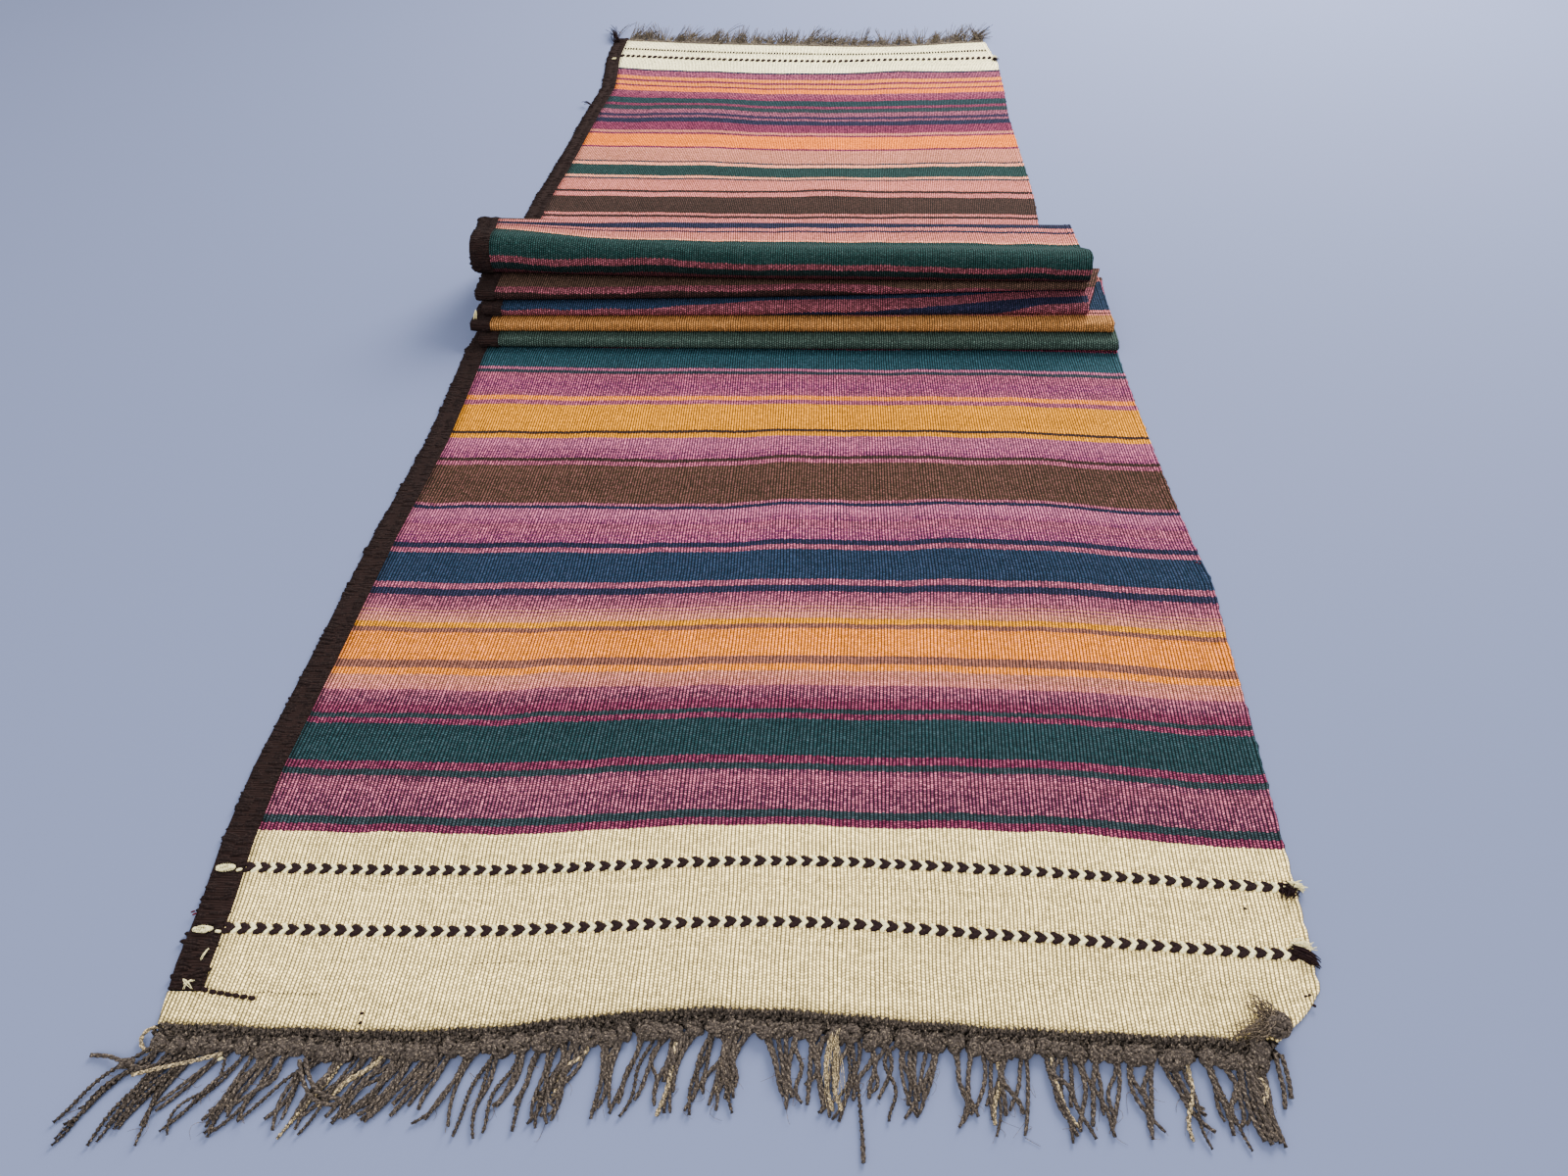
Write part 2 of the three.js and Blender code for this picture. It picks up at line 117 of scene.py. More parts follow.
half = FLOOR_SIZE / 2
floor_points = np.array([[-half, -half, 0], [half, -half, 0], [half, half, 0], [-half, half, 0]])
floor = new_object("studio_floor", floor_points, np.array([[0, 1, 2, 3]]))
floor_material, floor_shader, _ = new_material("pale_floor", 0.85)
floor_shader.inputs["Base Color"].default_value = (0.145, 0.172, 0.285, 1.0)
floor.data.materials.append(floor_material)
floor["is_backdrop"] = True

world = bpy.data.worlds.new("soft_sky")
world.use_nodes = True
world.node_tree.nodes["Background"].inputs["Color"].default_value = SKY_COLOUR
world.node_tree.nodes["Background"].inputs["Strength"].default_value = SKY_STRENGTH
bpy.context.scene.world = world
for lamp in LAMPS:
    light = bpy.data.lights.new(lamp["name"], "AREA")
    light.size = lamp["size"]
    light.energy = lamp["power"]
    light.color = lamp["colour"]
    lamp_object = bpy.data.objects.new(lamp["name"], light)
    bpy.context.scene.collection.objects.link(lamp_object)
    back = np.array(lamp["at"]) / np.linalg.norm(lamp["at"])
    side = np.cross([0.0, 0.0, 1.0], back)
    side /= np.linalg.norm(side)
    turned = np.eye(4)
    turned[:3, :3] = np.column_stack([side, np.cross(back, side), back])
    turned[:3, 3] = lamp["at"]
    lamp_object.matrix_world = Matrix(turned.tolist())

# The cloth: one sheet of weft-faced wool flatweave, woven from the near end to the far one. Both
# ends lie flat. The slack in the middle is pleated back and forth into five folds, the topmost a
# soft roll that drops down behind the pile.

# Sizes are in millimetres. Places along the runner are counted from its near edge, and places
# across it from its middle line.
MM = 0.001
MIDDLE_Y = 1040.0
CLOTH_THICK = 2.8
TYPICAL_WIDE = 800.0
BINDING_WIDE = 26.0
BINDING_THICK = 3.8
GAP = 0.3
BARE_END = 22.5
BARE_REACH = 60.0
NEAR_FLAT = 890.0
FAR_FLAT = 1200.0
FAR_END = 2080.0

# Outline where the cloth lies flat: place along, left (the binding's outer edge), right.
NEAR_OUTLINE = np.array([
    [0, -412, 373],
    [19, -415, 395],
    [24, -416, 400],
    [42, -419, 413],
    [94, -422, 418],
    [150, -428, 421],
    [222, -431, 425],
    [300, -428, 429],
    [389, -425, 432],
    [472, -423, 437],
    [530, -421, 431],
    [604, -416, 426],
    [700, -411, 422],
    [785, -411, 419],
    [890, -413, 417],
])
FAR_OUTLINE = np.array([
    [1200, -417, 363],
    [1271, -417, 362],
    [1352, -415, 366],
    [1436, -408, 366],
    [1530, -402, 364],
    [1697, -394, 361],
    [1820, -385, 366],
    [1895, -391, 367],
    [1960, -398, 368],
    [2012, -400, 362],
    [FAR_END, -399, 354],
])

# How far the weft line at a place along lies from straight, at five places across.
WEFT_BOW = [
    (0, [-5, -4, 19, 11, 8]),
    (70, [1, 4, 18, 13, 4]),
    (159, [0, 3, 18, 18, 9]),
    (720, [3, 1, 11, 16, 7]),
    (890, [0, 0, 0, 0, 0]),
    (1200, [0, 0, 0, 0, 0]),
    (1450, [6, 0, -6, -4, 3]),
    (1920, [24, 5, -8, -3, 10]),
    (FAR_END, [26, 4, -8, -13, 14]),
]

# The pile's turns: 1 rolls up and forward at the far side, -1 up and back at the near side. The
# lists are values at evenly spaced places from the left to the right.
FOLDS = [
    {"turn": 1, "along": [1064, 1061, 1058], "low": [0], "radius": [5], "left": -402, "right": 419},
    {"turn": -1, "along": [909, 910, 914], "low": [6.2], "radius": [5], "left": -396, "right": 417},
    {"turn": 1, "along": [1052, 1056, 1060], "low": [15.9], "radius": [5], "left": -404, "right": 417},
    {"turn": -1, "along": [923, 928, 934], "low": [20.5], "radius": [5], "left": -407, "right": 412},
    {"turn": 1, "along": [1066, 1062, 1057], "low": [30.2], "radius": [5], "left": -401, "right": 411},
    {"turn": -1, "along": [937, 944, 953], "low": [34.8], "radius": [5], "left": -393, "right": 381},
    {"turn": 1, "along": [1062, 1068, 1072], "low": [44.5], "radius": [5], "left": -398, "right": 384},
    {"turn": -1, "along": [951, 966, 989], "low": [49.1], "radius": [5], "left": -402, "right": 382},
    {"turn": 1, "along": [1078, 1080, 1079], "low": [58.8], "radius": [5], "left": -405, "right": 381},
    {
        "turn": -1,
        "along": [1003, 994, 989, 988, 987],
        "low": [63.4],
        "radius": [24.5, 21, 19, 18.5, 18],
        "left": -409,
        "right": 381,
    },
    {
        "turn": 1,
        "along": [1024, 1042, 1047, 1045, 1042],
        "low": [110, 84, 81, 81, 81],
        "radius": [10, 30, 36, 33, 30],
        "left": -409,
        "right": 376,
    },
    {
        "turn": -1,
        "along": [1047, 1090, 1096, 1095, 1094],
        "low": [70, 42, 38, 38, 38],
        "radius": [20, 22, 22, 22, 22],
        "left": -411,
        "right": 373,
    },
    {"turn": 1, "along": [1166, 1162, 1158], "low": [0], "radius": [35], "left": -417, "right": 363},
]
TURN_STEPS = 9
RUN_STEPS = 7
ROW_PITCH = 6.0

# Soft swells where the flat ends don't quite touch the floor: across, along, high, wide, long.
SWELLS = [
    (60, 70, 3.0, 150, 120),
    (-210, 330, 2.5, 160, 110),
    (230, 560, 3.0, 140, 120),
    (-120, 740, 3.5, 190, 90),
    (250, 250, 2.0, 120, 90),
    (40, 1380, 4.0, 210, 90),
    (-180, 1700, 3.0, 150, 120),
    (170, 1960, 3.0, 140, 110),
]


def curve_through(values, u):
    """The cubic through values at evenly spaced places from u = -1 to u = 1. At each place it has
    the slope of the line between the two neighbours, and the ends are their own neighbours."""
    v = np.asarray(values, float)
    if len(v) == 1:
        return np.full(np.shape(u), v[0])
    p = np.clip((u + 1) / 2, 0, 1) * (len(v) - 1)
    k = np.minimum(p.astype(int), len(v) - 2)
    t = p - k
    v = np.concatenate([v[:1], v, v[-1:]])
    a, b, c, d = v[k], v[k + 1], v[k + 2], v[k + 3]
    m, n = (c - a) / 2, (d - b) / 2
    return (2 * b - 2 * c + m + n) * t**3 + (3 * c - 3 * b - 2 * m - n) * t**2 + m * t + b


def weft_bow(u, along):
    """How far the weft line at along lies from straight at u: the curves of the two nearest rows
    of WEFT_BOW, mixed by how far along lies between them."""
    places = np.array([row[0] for row in WEFT_BOW], float)
    curves = np.stack([curve_through(row[1], u) for row in WEFT_BOW])
    k = np.clip(np.searchsorted(places, along) - 1, 0, len(places) - 2)
    t = np.clip((along - places[k]) / (places[k + 1] - places[k]), 0, 1)
    low = np.take_along_axis(curves, k[None], 0)[0]
    high = np.take_along_axis(curves, k[None] + 1, 0)[0]
    return low + (high - low) * t


def swell_height(x, along):
    """The sum of the swells at x and along, each a raised cosine in both directions."""
    high = np.zeros(np.shape(x))
    for middle_x, middle_along, tall, wide, long in SWELLS:
        px = np.clip(np.abs(x - middle_x) / wide, 0, 1)
        py = np.clip(np.abs(along - middle_along) / long, 0, 1)
        high += tall * 0.25 * (1 + np.cos(np.pi * px)) * (1 + np.cos(np.pi * py))
    return high


def reach_left(places, share, inset):
    """How far each column reaches left at the near end, where there is no binding: all of the
    inset at the edge itself, and evenly less up to BARE_REACH from it."""
    fade = np.clip(1 - share * TYPICAL_WIDE / BARE_REACH, 0, 1)
    return inset * fade * (places < BARE_END)[:, None]


def flat_part(outline, places, share, inset, rest):
    """The lines of a flat end, at each place along and each share of the way across: x is on the
    outline, y is the place moved by the weft bow and z the resting height plus the swells."""
    left = np.interp(places, outline[:, 0], outline[:, 1])[:, None]
    wide = np.interp(places, outline[:, 0], outline[:, 2])[:, None] - left
    x = left + inset + (wide - inset) * share
    if outline is NEAR_OUTLINE:
        x = x - reach_left(places, share, inset)
    along = np.broadcast_to(places[:, None], x.shape)
    y = along + weft_bow(2 * (x - left) / wide - 1, along)
    return np.stack([x, y, rest + swell_height(x, along), np.zeros(x.shape)])


def folded_part(share, inset, rest, start):
    """The lines through the pile: an arc round each turn and the straight run that touches both
    it and the turn before. A point of an arc lies at the turn's centre plus the radius times the
    sine of the heading along the runner, and minus the radius times its cosine in height."""
    first = FOLDS[0]
    first_wide = first["right"] - first["left"]
    u = 2 * (inset + (first_wide - inset) * share) / first_wide - 1
    turns = []
    for fold in FOLDS:
        radius = curve_through(fold["radius"], u)
        height = np.maximum(curve_through(fold["low"], u), rest) + radius
        wide = fold["right"] - fold["left"]
        x = fold["left"] + inset + (wide - inset) * share
        turns.append((fold["turn"], curve_through(fold["along"], u), height, radius, x))
    rows = []
    before = start
    heading = np.zeros(u.shape)
    for k, (turn, y, z, radius, x) in enumerate(turns):
        leaving = np.zeros(u.shape)
        if k + 1 < len(turns):
            turn_2, y_2, z_2, radius_2, _ = turns[k + 1]
            slant = (turn_2 * radius_2 - turn * radius) / np.hypot(y_2 - y, z_2 - z)
            leaving = np.arctan2(z_2 - z, y_2 - y) - np.arcsin(slant)
        wrong_way = turn * (leaving - heading) < 0
        leaving = leaving + 2 * np.pi * turn * wrong_way
        arc = []
        for t in np.linspace(0, 1, TURN_STEPS):
            h = heading + (leaving - heading) * t
            arc.append(np.stack([x, y + turn * radius * np.sin(h), z - turn * radius * np.cos(h), h]))
        for t in np.linspace(0, 1, RUN_STEPS + 1)[1:-1]:
            rows.append(before + (arc[0] - before) * t)
        rows.extend(arc)
        before = arc[-1]
        heading = leaving
    return np.stack(rows, axis=1)


def along_runner(share, inset, rest):
    """All lines of the runner at these shares of the way across: x, y, z and heading, each as an
    array of rows by columns, and the length of cloth at each row, measured at the middle."""
    near_places = np.linspace(0, NEAR_FLAT, round(NEAR_FLAT / ROW_PITCH) + 1)
    near_places = np.sort(np.append(near_places, [BARE_END - 0.1, BARE_END + 0.3]))
    far_places = np.linspace(FAR_FLAT, FAR_END, round((FAR_END - FAR_FLAT) / ROW_PITCH))
    near = flat_part(NEAR_OUTLINE, near_places, share, inset, rest)
    pile = folded_part(share, inset, rest, near[:, -1])
    far = flat_part(FAR_OUTLINE, far_places, share, inset, rest)
    middle = np.array([0.5])
    line = folded_part(middle, 0.0, rest, flat_part(NEAR_OUTLINE, near_places, middle, 0.0, rest)[:, -1])
    path = np.concatenate([[[NEAR_FLAT, rest]], line[1:3, :, 0].T, [[FAR_FLAT, rest]]])
    run = NEAR_FLAT + np.cumsum(np.hypot(*np.diff(path, axis=0).T))
    length = np.concatenate([near_places, run[:-1], run[-1] + far_places - FAR_FLAT])
    return np.concatenate([near, pile, far], axis=1), length


def thicken(lines, out, sideways=0.0):
    """Points moved out of the sheet's middle surface along its own normal, and sideways, in the
    part's frame and in metres."""
    x, y, z, heading = lines
    y_out = y - np.sin(heading) * out - MIDDLE_Y
    return np.stack([x + sideways, y_out, z + np.cos(heading) * out], axis=-1) * MM


def ring_faces(rows, ring):
    """Four-sided faces of a closed tube of rows rings with ring points each, with both its ends
    closed by strips that join a ring's first half to its second."""
    r, c = np.meshgrid(np.arange(rows - 1), np.arange(ring), indexing="ij")
    a = r * ring + c
    b = r * ring + (c + 1) % ring
    tube = np.stack([a, a + ring, b + ring, b], axis=-1).reshape(-1, 4)
    k = np.arange(ring // 2 - 1)
    cap = np.stack([k, k + 1, ring - 2 - k, ring - 1 - k], axis=-1)
    return np.concatenate([tube, cap, cap[:, ::-1] + (rows - 1) * ring])


# The columns lie closer together at the right selvedge, where two cords of doubled warps make two
# ridges, counted from the selvedge inwards.
SELVEDGE = np.array([0, 0.5, 1.2, 2.2, 3.2, 4.2, 5.2, 6.2, 7.4, 8.6, 9.8, 11, 12.5, 15])
SELVEDGE_CORDS = (2.4, 7.4)
SELVEDGE_CORD_HIGH = 0.8
EVEN_COLUMNS = 74
EVEN_UP_TO = 22.0
even_share = np.linspace(0, 1 - EVEN_UP_TO / TYPICAL_WIDE, EVEN_COLUMNS)
share = np.concatenate([even_share, 1 - SELVEDGE[::-1] / TYPICAL_WIDE])
from_edge = (1 - share) * TYPICAL_WIDE
lines, cloth_length = along_runner(share, BINDING_WIDE + GAP, CLOTH_THICK / 2)
edge_round = np.sqrt(np.clip(1 - (1 - np.clip(from_edge / 1.4, 0, 1)) ** 2, 0.02, 1))
cords = sum(np.exp(-(((from_edge - at) / 1.3) ** 2)) for at in SELVEDGE_CORDS)
out = (CLOTH_THICK / 2) * edge_round + SELVEDGE_CORD_HIGH * cords
lower = thicken(lines, -(CLOTH_THICK / 2) * edge_round)
upper = thicken(lines, out)
scallop = 0.8 * np.sin(cloth_length / 4.1) * np.sin(cloth_length / 13.7 + 1.0)
scallop = scallop + 0.5 * np.sin(cloth_length / 2.3)
scallop = scallop[:, None] * np.exp(-from_edge / 3.0) * MM
lower[:, :, 0] += scallop
upper[:, :, 0] += scallop
ring = np.concatenate([lower, upper[:, ::-1]], axis=1)
rows, ring_count = ring.shape[:2]
across = np.concatenate([share, share[::-1]]) * TYPICAL_WIDE * MM
cloth_uv = np.stack(np.broadcast_arrays(across[None, :], cloth_length[:, None] * MM), axis=-1)

# Round the near right corner the ribs still run straight to the edge, so there the UV's place
# across is the one that x has in the outline's first full row.
corner_along, corner_left, corner_right = NEAR_OUTLINE[3]
corner_rows = cloth_length < corner_along
straight = (lines[0] - corner_left - BINDING_WIDE) / (corner_right - corner_left - BINDING_WIDE)
straight = np.concatenate([straight, straight[:, ::-1]], axis=1) * TYPICAL_WIDE * MM
cloth_uv[:, :, 0] = np.where(corner_rows[:, None], straight, cloth_uv[:, :, 0])

# The stripes drift off the weft rows where the folds lie askew: a row for each place along the
# cloth, and how far the stripes are moved there at evenly spaced places across.
STRIPE_DRIFT = [
    (1795, [0, 0, 0, 0, 0]),
    (1815, [15, 14, -6, -10, -38]),
    (1858, [15, 14, -6, -10, -38]),
    (1900, [0, 0, 0, 0, 0]),
    (2060, [0, 0, 0, 13, 14]),
    (2110, [0, 0, 0, 13, 14]),
    (2140, [0, 0, 0, 0, 0]),
    (2437, [0, 0, 0, 0, 0]),
    (2474, [22, 12, 3, 0, 0]),
    (2520, [22, 12, 3, 0, 0]),
    (2600, [0, 0, 0, 0, 0]),
]
drift_places = np.array([row[0] for row in STRIPE_DRIFT], float)
drift_curves = np.stack([curve_through(row[1], 2 * share - 1) for row in STRIPE_DRIFT])
drift = np.stack([np.interp(cloth_length, drift_places, curve) for curve in drift_curves.T], axis=1)
cloth_uv[:, :, 1] += np.concatenate([drift, drift[:, ::-1]], axis=1) * MM
woven = new_object("woven_cloth", ring.reshape(-1, 3), ring_faces(rows, ring_count), cloth_uv.reshape(-1, 2))

# Wool colours, as they look on a screen.
WOOL = {
    "cream": (231, 222, 201),
    "bright cream": (243, 240, 234),
    "cream pink": (224, 190, 172),
    "light pink": (210, 160, 150),
    "pale violet": (188, 124, 154),
    "pink": (174, 100, 128),
    "violet pink": (158, 70, 126),
    "salmon": (212, 164, 148),
    "peach": (210, 168, 146),
    "tan pink": (178, 126, 108),
    "rose": (152, 86, 96),
    "dark rose": (112, 58, 66),
    "mauve pink": (140, 66, 104),
    "mauve": (136, 82, 108),
    "magenta": (144, 46, 92),
    "crimson": (134, 42, 78),
    "orange": (224, 172, 98),
    "light orange": (222, 178, 92),
    "gold": (216, 178, 72),
    "dull gold": (198, 158, 104),
    "light brown": (128, 96, 80),
    "brown": (106, 74, 54),
    "deep brown": (84, 58, 48),
    "thin brown": (80, 52, 44),
    "dark brown": (66, 42, 38),
    "navy": (40, 48, 82),
    "blue": (38, 68, 100),
    "purple navy": (62, 50, 88),
    "slate": (66, 78, 90),
    "slate green": (56, 78, 84),
    "grey green": (88, 110, 100),
    "deep green": (40, 80, 86),
    "green": (40, 84, 80),
    "dark green": (24, 56, 54),
    "teal": (48, 98, 110),
}

# How much undyed pale wool is spun in with each colour. The reds have the most.
PALE_SPUN_IN = {
    "mauve pink": 0.8,
    "pink": 0.8,
    "violet pink": 0.8,
    "pale violet": 0.7,
    "magenta": 0.35,
    "mauve": 0.7,
    "crimson": 0.3,
    "rose": 0.4,
    "light pink": 0.6,
    "brown": 0.12,
    "light orange": 0.35,
    "salmon": 0.5,
    "peach": 0.4,
}
SOME_PALE = 0.02
LIGHT_LEVEL = 3.2


def dye(red, green, blue):
    """The wool's own colour from the one that it shows on the screen: each part is taken back
    through the view's tone curve, made stronger by as much as the view greys it, and divided by
    the light that falls on the floor."""
    shown = np.array([red, green, blue]) / 255
    tone = 0.194 * shown**1.12 / (1 - shown) ** 1.32
    grey = tone @ np.array([0.21, 0.72, 0.07])
    stronger = (grey + (tone - grey) * 1.1) * [1 - 0.22 * shown[0], 1.0, 1.0] / LIGHT_LEVEL
    return tuple(np.clip(stronger / max(stronger.max() / 0.92, 1.0), 0.003, 0.92))


def blend(first, second, wide):
    """A stripe that passes from one colour to the other in thin turns of both, whose shares of the
    stripe change evenly from one end to the other."""
    steps = max(round(wide / 5.0), 2)
    share = (np.arange(steps) + 0.7) / (steps + 0.4)
    pairs = [((first, (1 - s) * wide / steps), (second, s * wide / steps)) for s in share]
    return [stripe for pair in pairs for stripe in pair]


# Widths of the stripes where the cloth lies flat, and the place where the first of them starts, all
# at the runner's middle. The teal stripe after the near end's last one is the first of the pile.
NEAR_START = 19.0
NEAR_STRIPES = [
    ("cream", 157.7),
    ("magenta", 8.0),
    ("slate green", 8.0),
    ("mauve pink", 15.2),
    *blend("mauve pink", "pink", 20.0),
    ("mauve pink", 6.0),
    ("slate green", 6.8),
    ("magenta", 8.8),
    ("deep green", 41.8),
    ("magenta", 6.4),
    ("slate green", 5.7),
    ("magenta", 6.0),
    *blend("magenta", "mauve pink", 10.0),
    *blend("mauve pink", "pink", 11.8),
    *blend("light pink", "peach", 18.6),
    ("light orange", 8.3),
    ("tan pink", 10.4),
    ("light orange", 35.7),
    ("tan pink", 6.4),
    ("gold", 7.5),
    *blend("peach", "pink", 26.0),
    *blend("pink", "mauve pink", 11.7),
    ("navy", 9.7),
    ("pink", 8.6),
    ("blue", 44.7),
    ("pink", 7.7),
    ("navy", 7.8),
    *blend("violet pink", "pink", 30.7),
    *blend("violet pink", "pale violet", 15.0),
    ("pale violet", 10.0),
    ("navy", 5.5),
    ("pink", 4.6),
    ("brown", 67.2),
    ("pink", 7.4),
    ("thin brown", 5.6),
    *blend("violet pink", "pale violet", 25.8),
    ("pale violet", 12.0),
    ("gold", 8.4),
    ("thin brown", 5.3),
    ("gold", 52.3),
    ("pink", 9.4),
    ("light orange", 8.9),
    *blend("pink", "violet pink", 20.0),
    *blend("violet pink", "pink", 28.7),
    ("slate", 6.7),
    ("pale violet", 5.6),
]

# Places of the stripes' far edges in the pile, along the cloth from where the pile starts.
PILE_STRIPES = [
    ("teal", 21),
    ("crimson", 27),
    ("light pink", 60),
    ("brown", 130),
    ("pink", 170),
    ("navy", 190),
    ("salmon", 250),
    ("thin brown", 258),
    ("cream pink", 300),
    ("crimson", 312),
    ("grey green", 410),
    ("pink", 450),
    ("brown", 520),
    ("pink", 560),
    ("crimson", 600),
    ("dull gold", 676),
    ("light pink", 680),
    ("thin brown", 683),
    ("light pink", 690),
    ("blue", 775),
    ("light pink", 800),
    ("brown", 860),
    ("rose", 910),
    ("navy", 930),
    ("rose", 953),
    ("blue", 1010),
    ("pink", 1050),
    ("gold", 1110),
    ("pink", 1150),
    ("dark brown", 1195),
    ("rose", 1206),
    ("light brown", 1260),
    ("pink", 1310),
    ("crimson", 1350),
    ("light brown", 1425),
    # Dark rose and dark green lie under the top roll, and their colours were taken there in shade, so their
    # darkness is partly painted shade.
    ("dark rose", 1440),
    ("dark green", 1449),
    ("rose", 1456),
    ("green", 1543),
    ("cream pink", 1547),
    ("salmon", 1570),
    ("navy", 1575),
    ("light pink", 1584),
    ("navy", 1603),
    ("light pink", 1615),
    ("brown", 1660),
    ("mauve pink", 1760),
]
FAR_START = 1278.5
FAR_STRIPES = [
    ("light pink", 8.3),
    ("dark brown", 7.8),
    ("light pink", 7.8),
    ("deep brown", 56.2),
    ("light pink", 15.0),
    ("dark brown", 8.0),
    ("salmon", 39.7),
    ("slate", 5.6),
    ("cream pink", 8.7),
    ("green", 40.3),
    ("cream pink", 10.6),
    ("slate", 5.9),
    ("peach", 52.9),
    ("magenta", 7.4),
    ("orange", 50.2),
    ("magenta", 8.2),
    ("peach", 9.5),
    ("magenta", 34.4),
    ("navy", 19.4),
    ("mauve", 9.0),
    ("purple navy", 11.9),
    ("mauve", 19.0),
    ("slate green", 18.8),
    ("magenta", 10.9),
    ("deep green", 25.9),
    *blend("magenta", "mauve pink", 34.8),
    ("orange", 20.5),
    ("magenta", 8.1),
    ("light orange", 16.8),
    ("magenta", 10.8),
    ("light orange", 15.6),
    ("mauve pink", 30.0),
    ("navy", 8.0),
    ("bright cream", 170.0),
]


def flat_stripes(stripes, start, first, last, added):
    """Each stripe's far edge as a length of cloth, from its width at the middle: the place whose
    weft line, moved by the bow at the middle, lies where the edge does."""
    places = np.linspace(first, last, 400)
    moved = places + weft_bow(np.zeros(400), places)
    edges = np.interp(start + np.cumsum([wide for _, wide in stripes]), moved, places)
    return [(name, edge + added) for (name, _), edge in zip(stripes, edges)]


far_added = cloth_length[-1] - FAR_END
far_first = flat_stripes([("", 0.0)], FAR_START, FAR_FLAT, FAR_END, far_added)[0][1]
stripes = flat_stripes(NEAR_STRIPES, NEAR_START, 0, NEAR_FLAT, 0.0)
stripes += [(name, min(edge + NEAR_FLAT, far_first)) for name, edge in PILE_STRIPES]
stripes += flat_stripes(FAR_STRIPES, FAR_START, FAR_FLAT, FAR_END, far_added)
stripes[-1] = (stripes[-1][0], cloth_length[-1] + 10)


class Nodes:
    """Short ways to add nodes to a tree and to join them."""

    def __init__(self, tree):
        self.tree = tree

    def add(self, kind, inputs=(), **settings):
        node = self.tree.nodes.new(kind)
        for name, value in settings.items():
            setattr(node, name, value)
        for name, value in dict(inputs).items():
            if isinstance(value, bpy.types.NodeSocket):
                self.tree.links.new(value, node.inputs[name])
            else:
                node.inputs[name].default_value = value
        return node

    def math(self, operation, *values):
        return self.add("ShaderNodeMath", enumerate(values), operation=operation).outputs[0]

    def scaled(self, value, gain, base):
        """value times gain, plus base."""
        return self.math("MULTIPLY_ADD", value, gain, base)

    def clamp(self, value, low, high):
        return self.add("ShaderNodeClamp", {0: value, 1: low, 2: high}).outputs[0]

    def mix(self, factor, a, b, blend="MIX"):
        inputs = {0: factor, 6: a, 7: b}
        node = self.add("ShaderNodeMix", inputs, data_type="RGBA", blend_type=blend)
        return node.outputs[2]

    def choose(self, factor, a, b):
        return self.add("ShaderNodeMix", {0: factor, 2: a, 3: b}, data_type="FLOAT").outputs[0]

    def noise(self, vector, scale, detail=2.0):
        inputs = {"Vector": vector, "Scale": scale, "Detail": detail}
        return self.add("ShaderNodeTexNoise", inputs).outputs["Fac"]

    def grain(self, uv, across, along, detail):
        """Noise stretched over the cloth, with about so many lumps to a metre across and along."""
        inputs = {"Vector": uv, "Scale": (across, along, 1.0)}
        return self.noise(self.add("ShaderNodeMapping", inputs).outputs[0], 1.0, detail)

    def ridges(self, place):
        """A row of round ridges, one for each whole step of place: the absolute sine."""
        return self.math("ABSOLUTE", self.math("SINE", self.math("MULTIPLY", place, np.pi)))

    def shaded(self, colour, tone):
        """The colour with each of its parts multiplied by tone."""
        grey = self.add("ShaderNodeCombineXYZ", {0: tone, 1: tone, 2: tone}).outputs[0]
        return self.mix(1.0, colour, grey, "MULTIPLY")

    def finish(self, shader, colour, height, strength, deep):
        """Gives the shader its colour, and a bump from height that is deep metres deep."""
        bump = self.add("ShaderNodeBump", {"Height": height, "Strength": strength, "Distance": deep})
        self.tree.links.new(colour, shader.inputs["Base Color"])
        self.tree.links.new(bump.outputs[0], shader.inputs["Normal"])


def dress(piece, material):
    """Gives a piece its material. It rides on the runner's one body."""
    piece.data.materials.append(material)
    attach(piece, "root")


# The weave: how wide a warp rib and a bead of weft are. A colour ramp holds only 32 stops, so each
# block of the cloth's length has a ramp of its own.
RIB = 3.0
WEFT = 2.3
BLOCK = 128.0

wool_material, wool_shader, wool_tree = new_material("striped_wool", 0.95)
n = Nodes(wool_tree)
uv = n.add("ShaderNodeUVMap", uv_map="cloth").outputs[0]
split = n.add("ShaderNodeSeparateXYZ", {0: uv})
rib_sway = n.grain(uv, 60.0, 12.0, 1.0)
rib_place = n.scaled(rib_sway, 0.8, n.math("DIVIDE", split.outputs[0], RIB * MM))
rib_number = n.math("FLOOR", rib_place)
rib_side = n.math("MODULO", rib_number, 2.0)
wander = n.grain(uv, 7.0, 2.5, 3.0)
rough = n.grain(uv, 420.0, 20.0, 1.0)
moved = n.scaled(n.math("SUBTRACT", wander, 0.5), 19.0 * MM, split.outputs[1])
moved = n.scaled(n.math("SUBTRACT", rough, 0.5), 2.0 * MM, moved)
moved = n.scaled(rib_side, 0.5 * MM, moved)

colour = None
spun_in = None
for block in range(int(np.ceil(cloth_length[-1] / BLOCK))):
    start = block * BLOCK
    place = n.math("DIVIDE", n.math("SUBTRACT", moved, start * MM), BLOCK * MM)
    ramp = n.add("ShaderNodeValToRGB", {0: place})
    ramp.color_ramp.interpolation = "CONSTANT"
    stops = ramp.color_ramp.elements
    stops.remove(stops[1])
    begins = 0.0
    first = True
    for name, ends in stripes:
        if ends > start and begins < start + BLOCK:
            stop = stops[0] if first else stops.new(min((begins - start) / BLOCK, 1.0))
            stop.position = max((begins - start) / BLOCK, 0.0)
            stop.color = (*dye(*WOOL[name]), PALE_SPUN_IN.get(name, SOME_PALE))
            first = False
        begins = ends
    here, pale_here = ramp.outputs
    reached = n.math("GREATER_THAN", moved, start * MM)
    colour = here if colour is None else n.mix(reached, colour, here)
    spun_in = pale_here if spun_in is None else n.choose(reached, spun_in, pale_here)

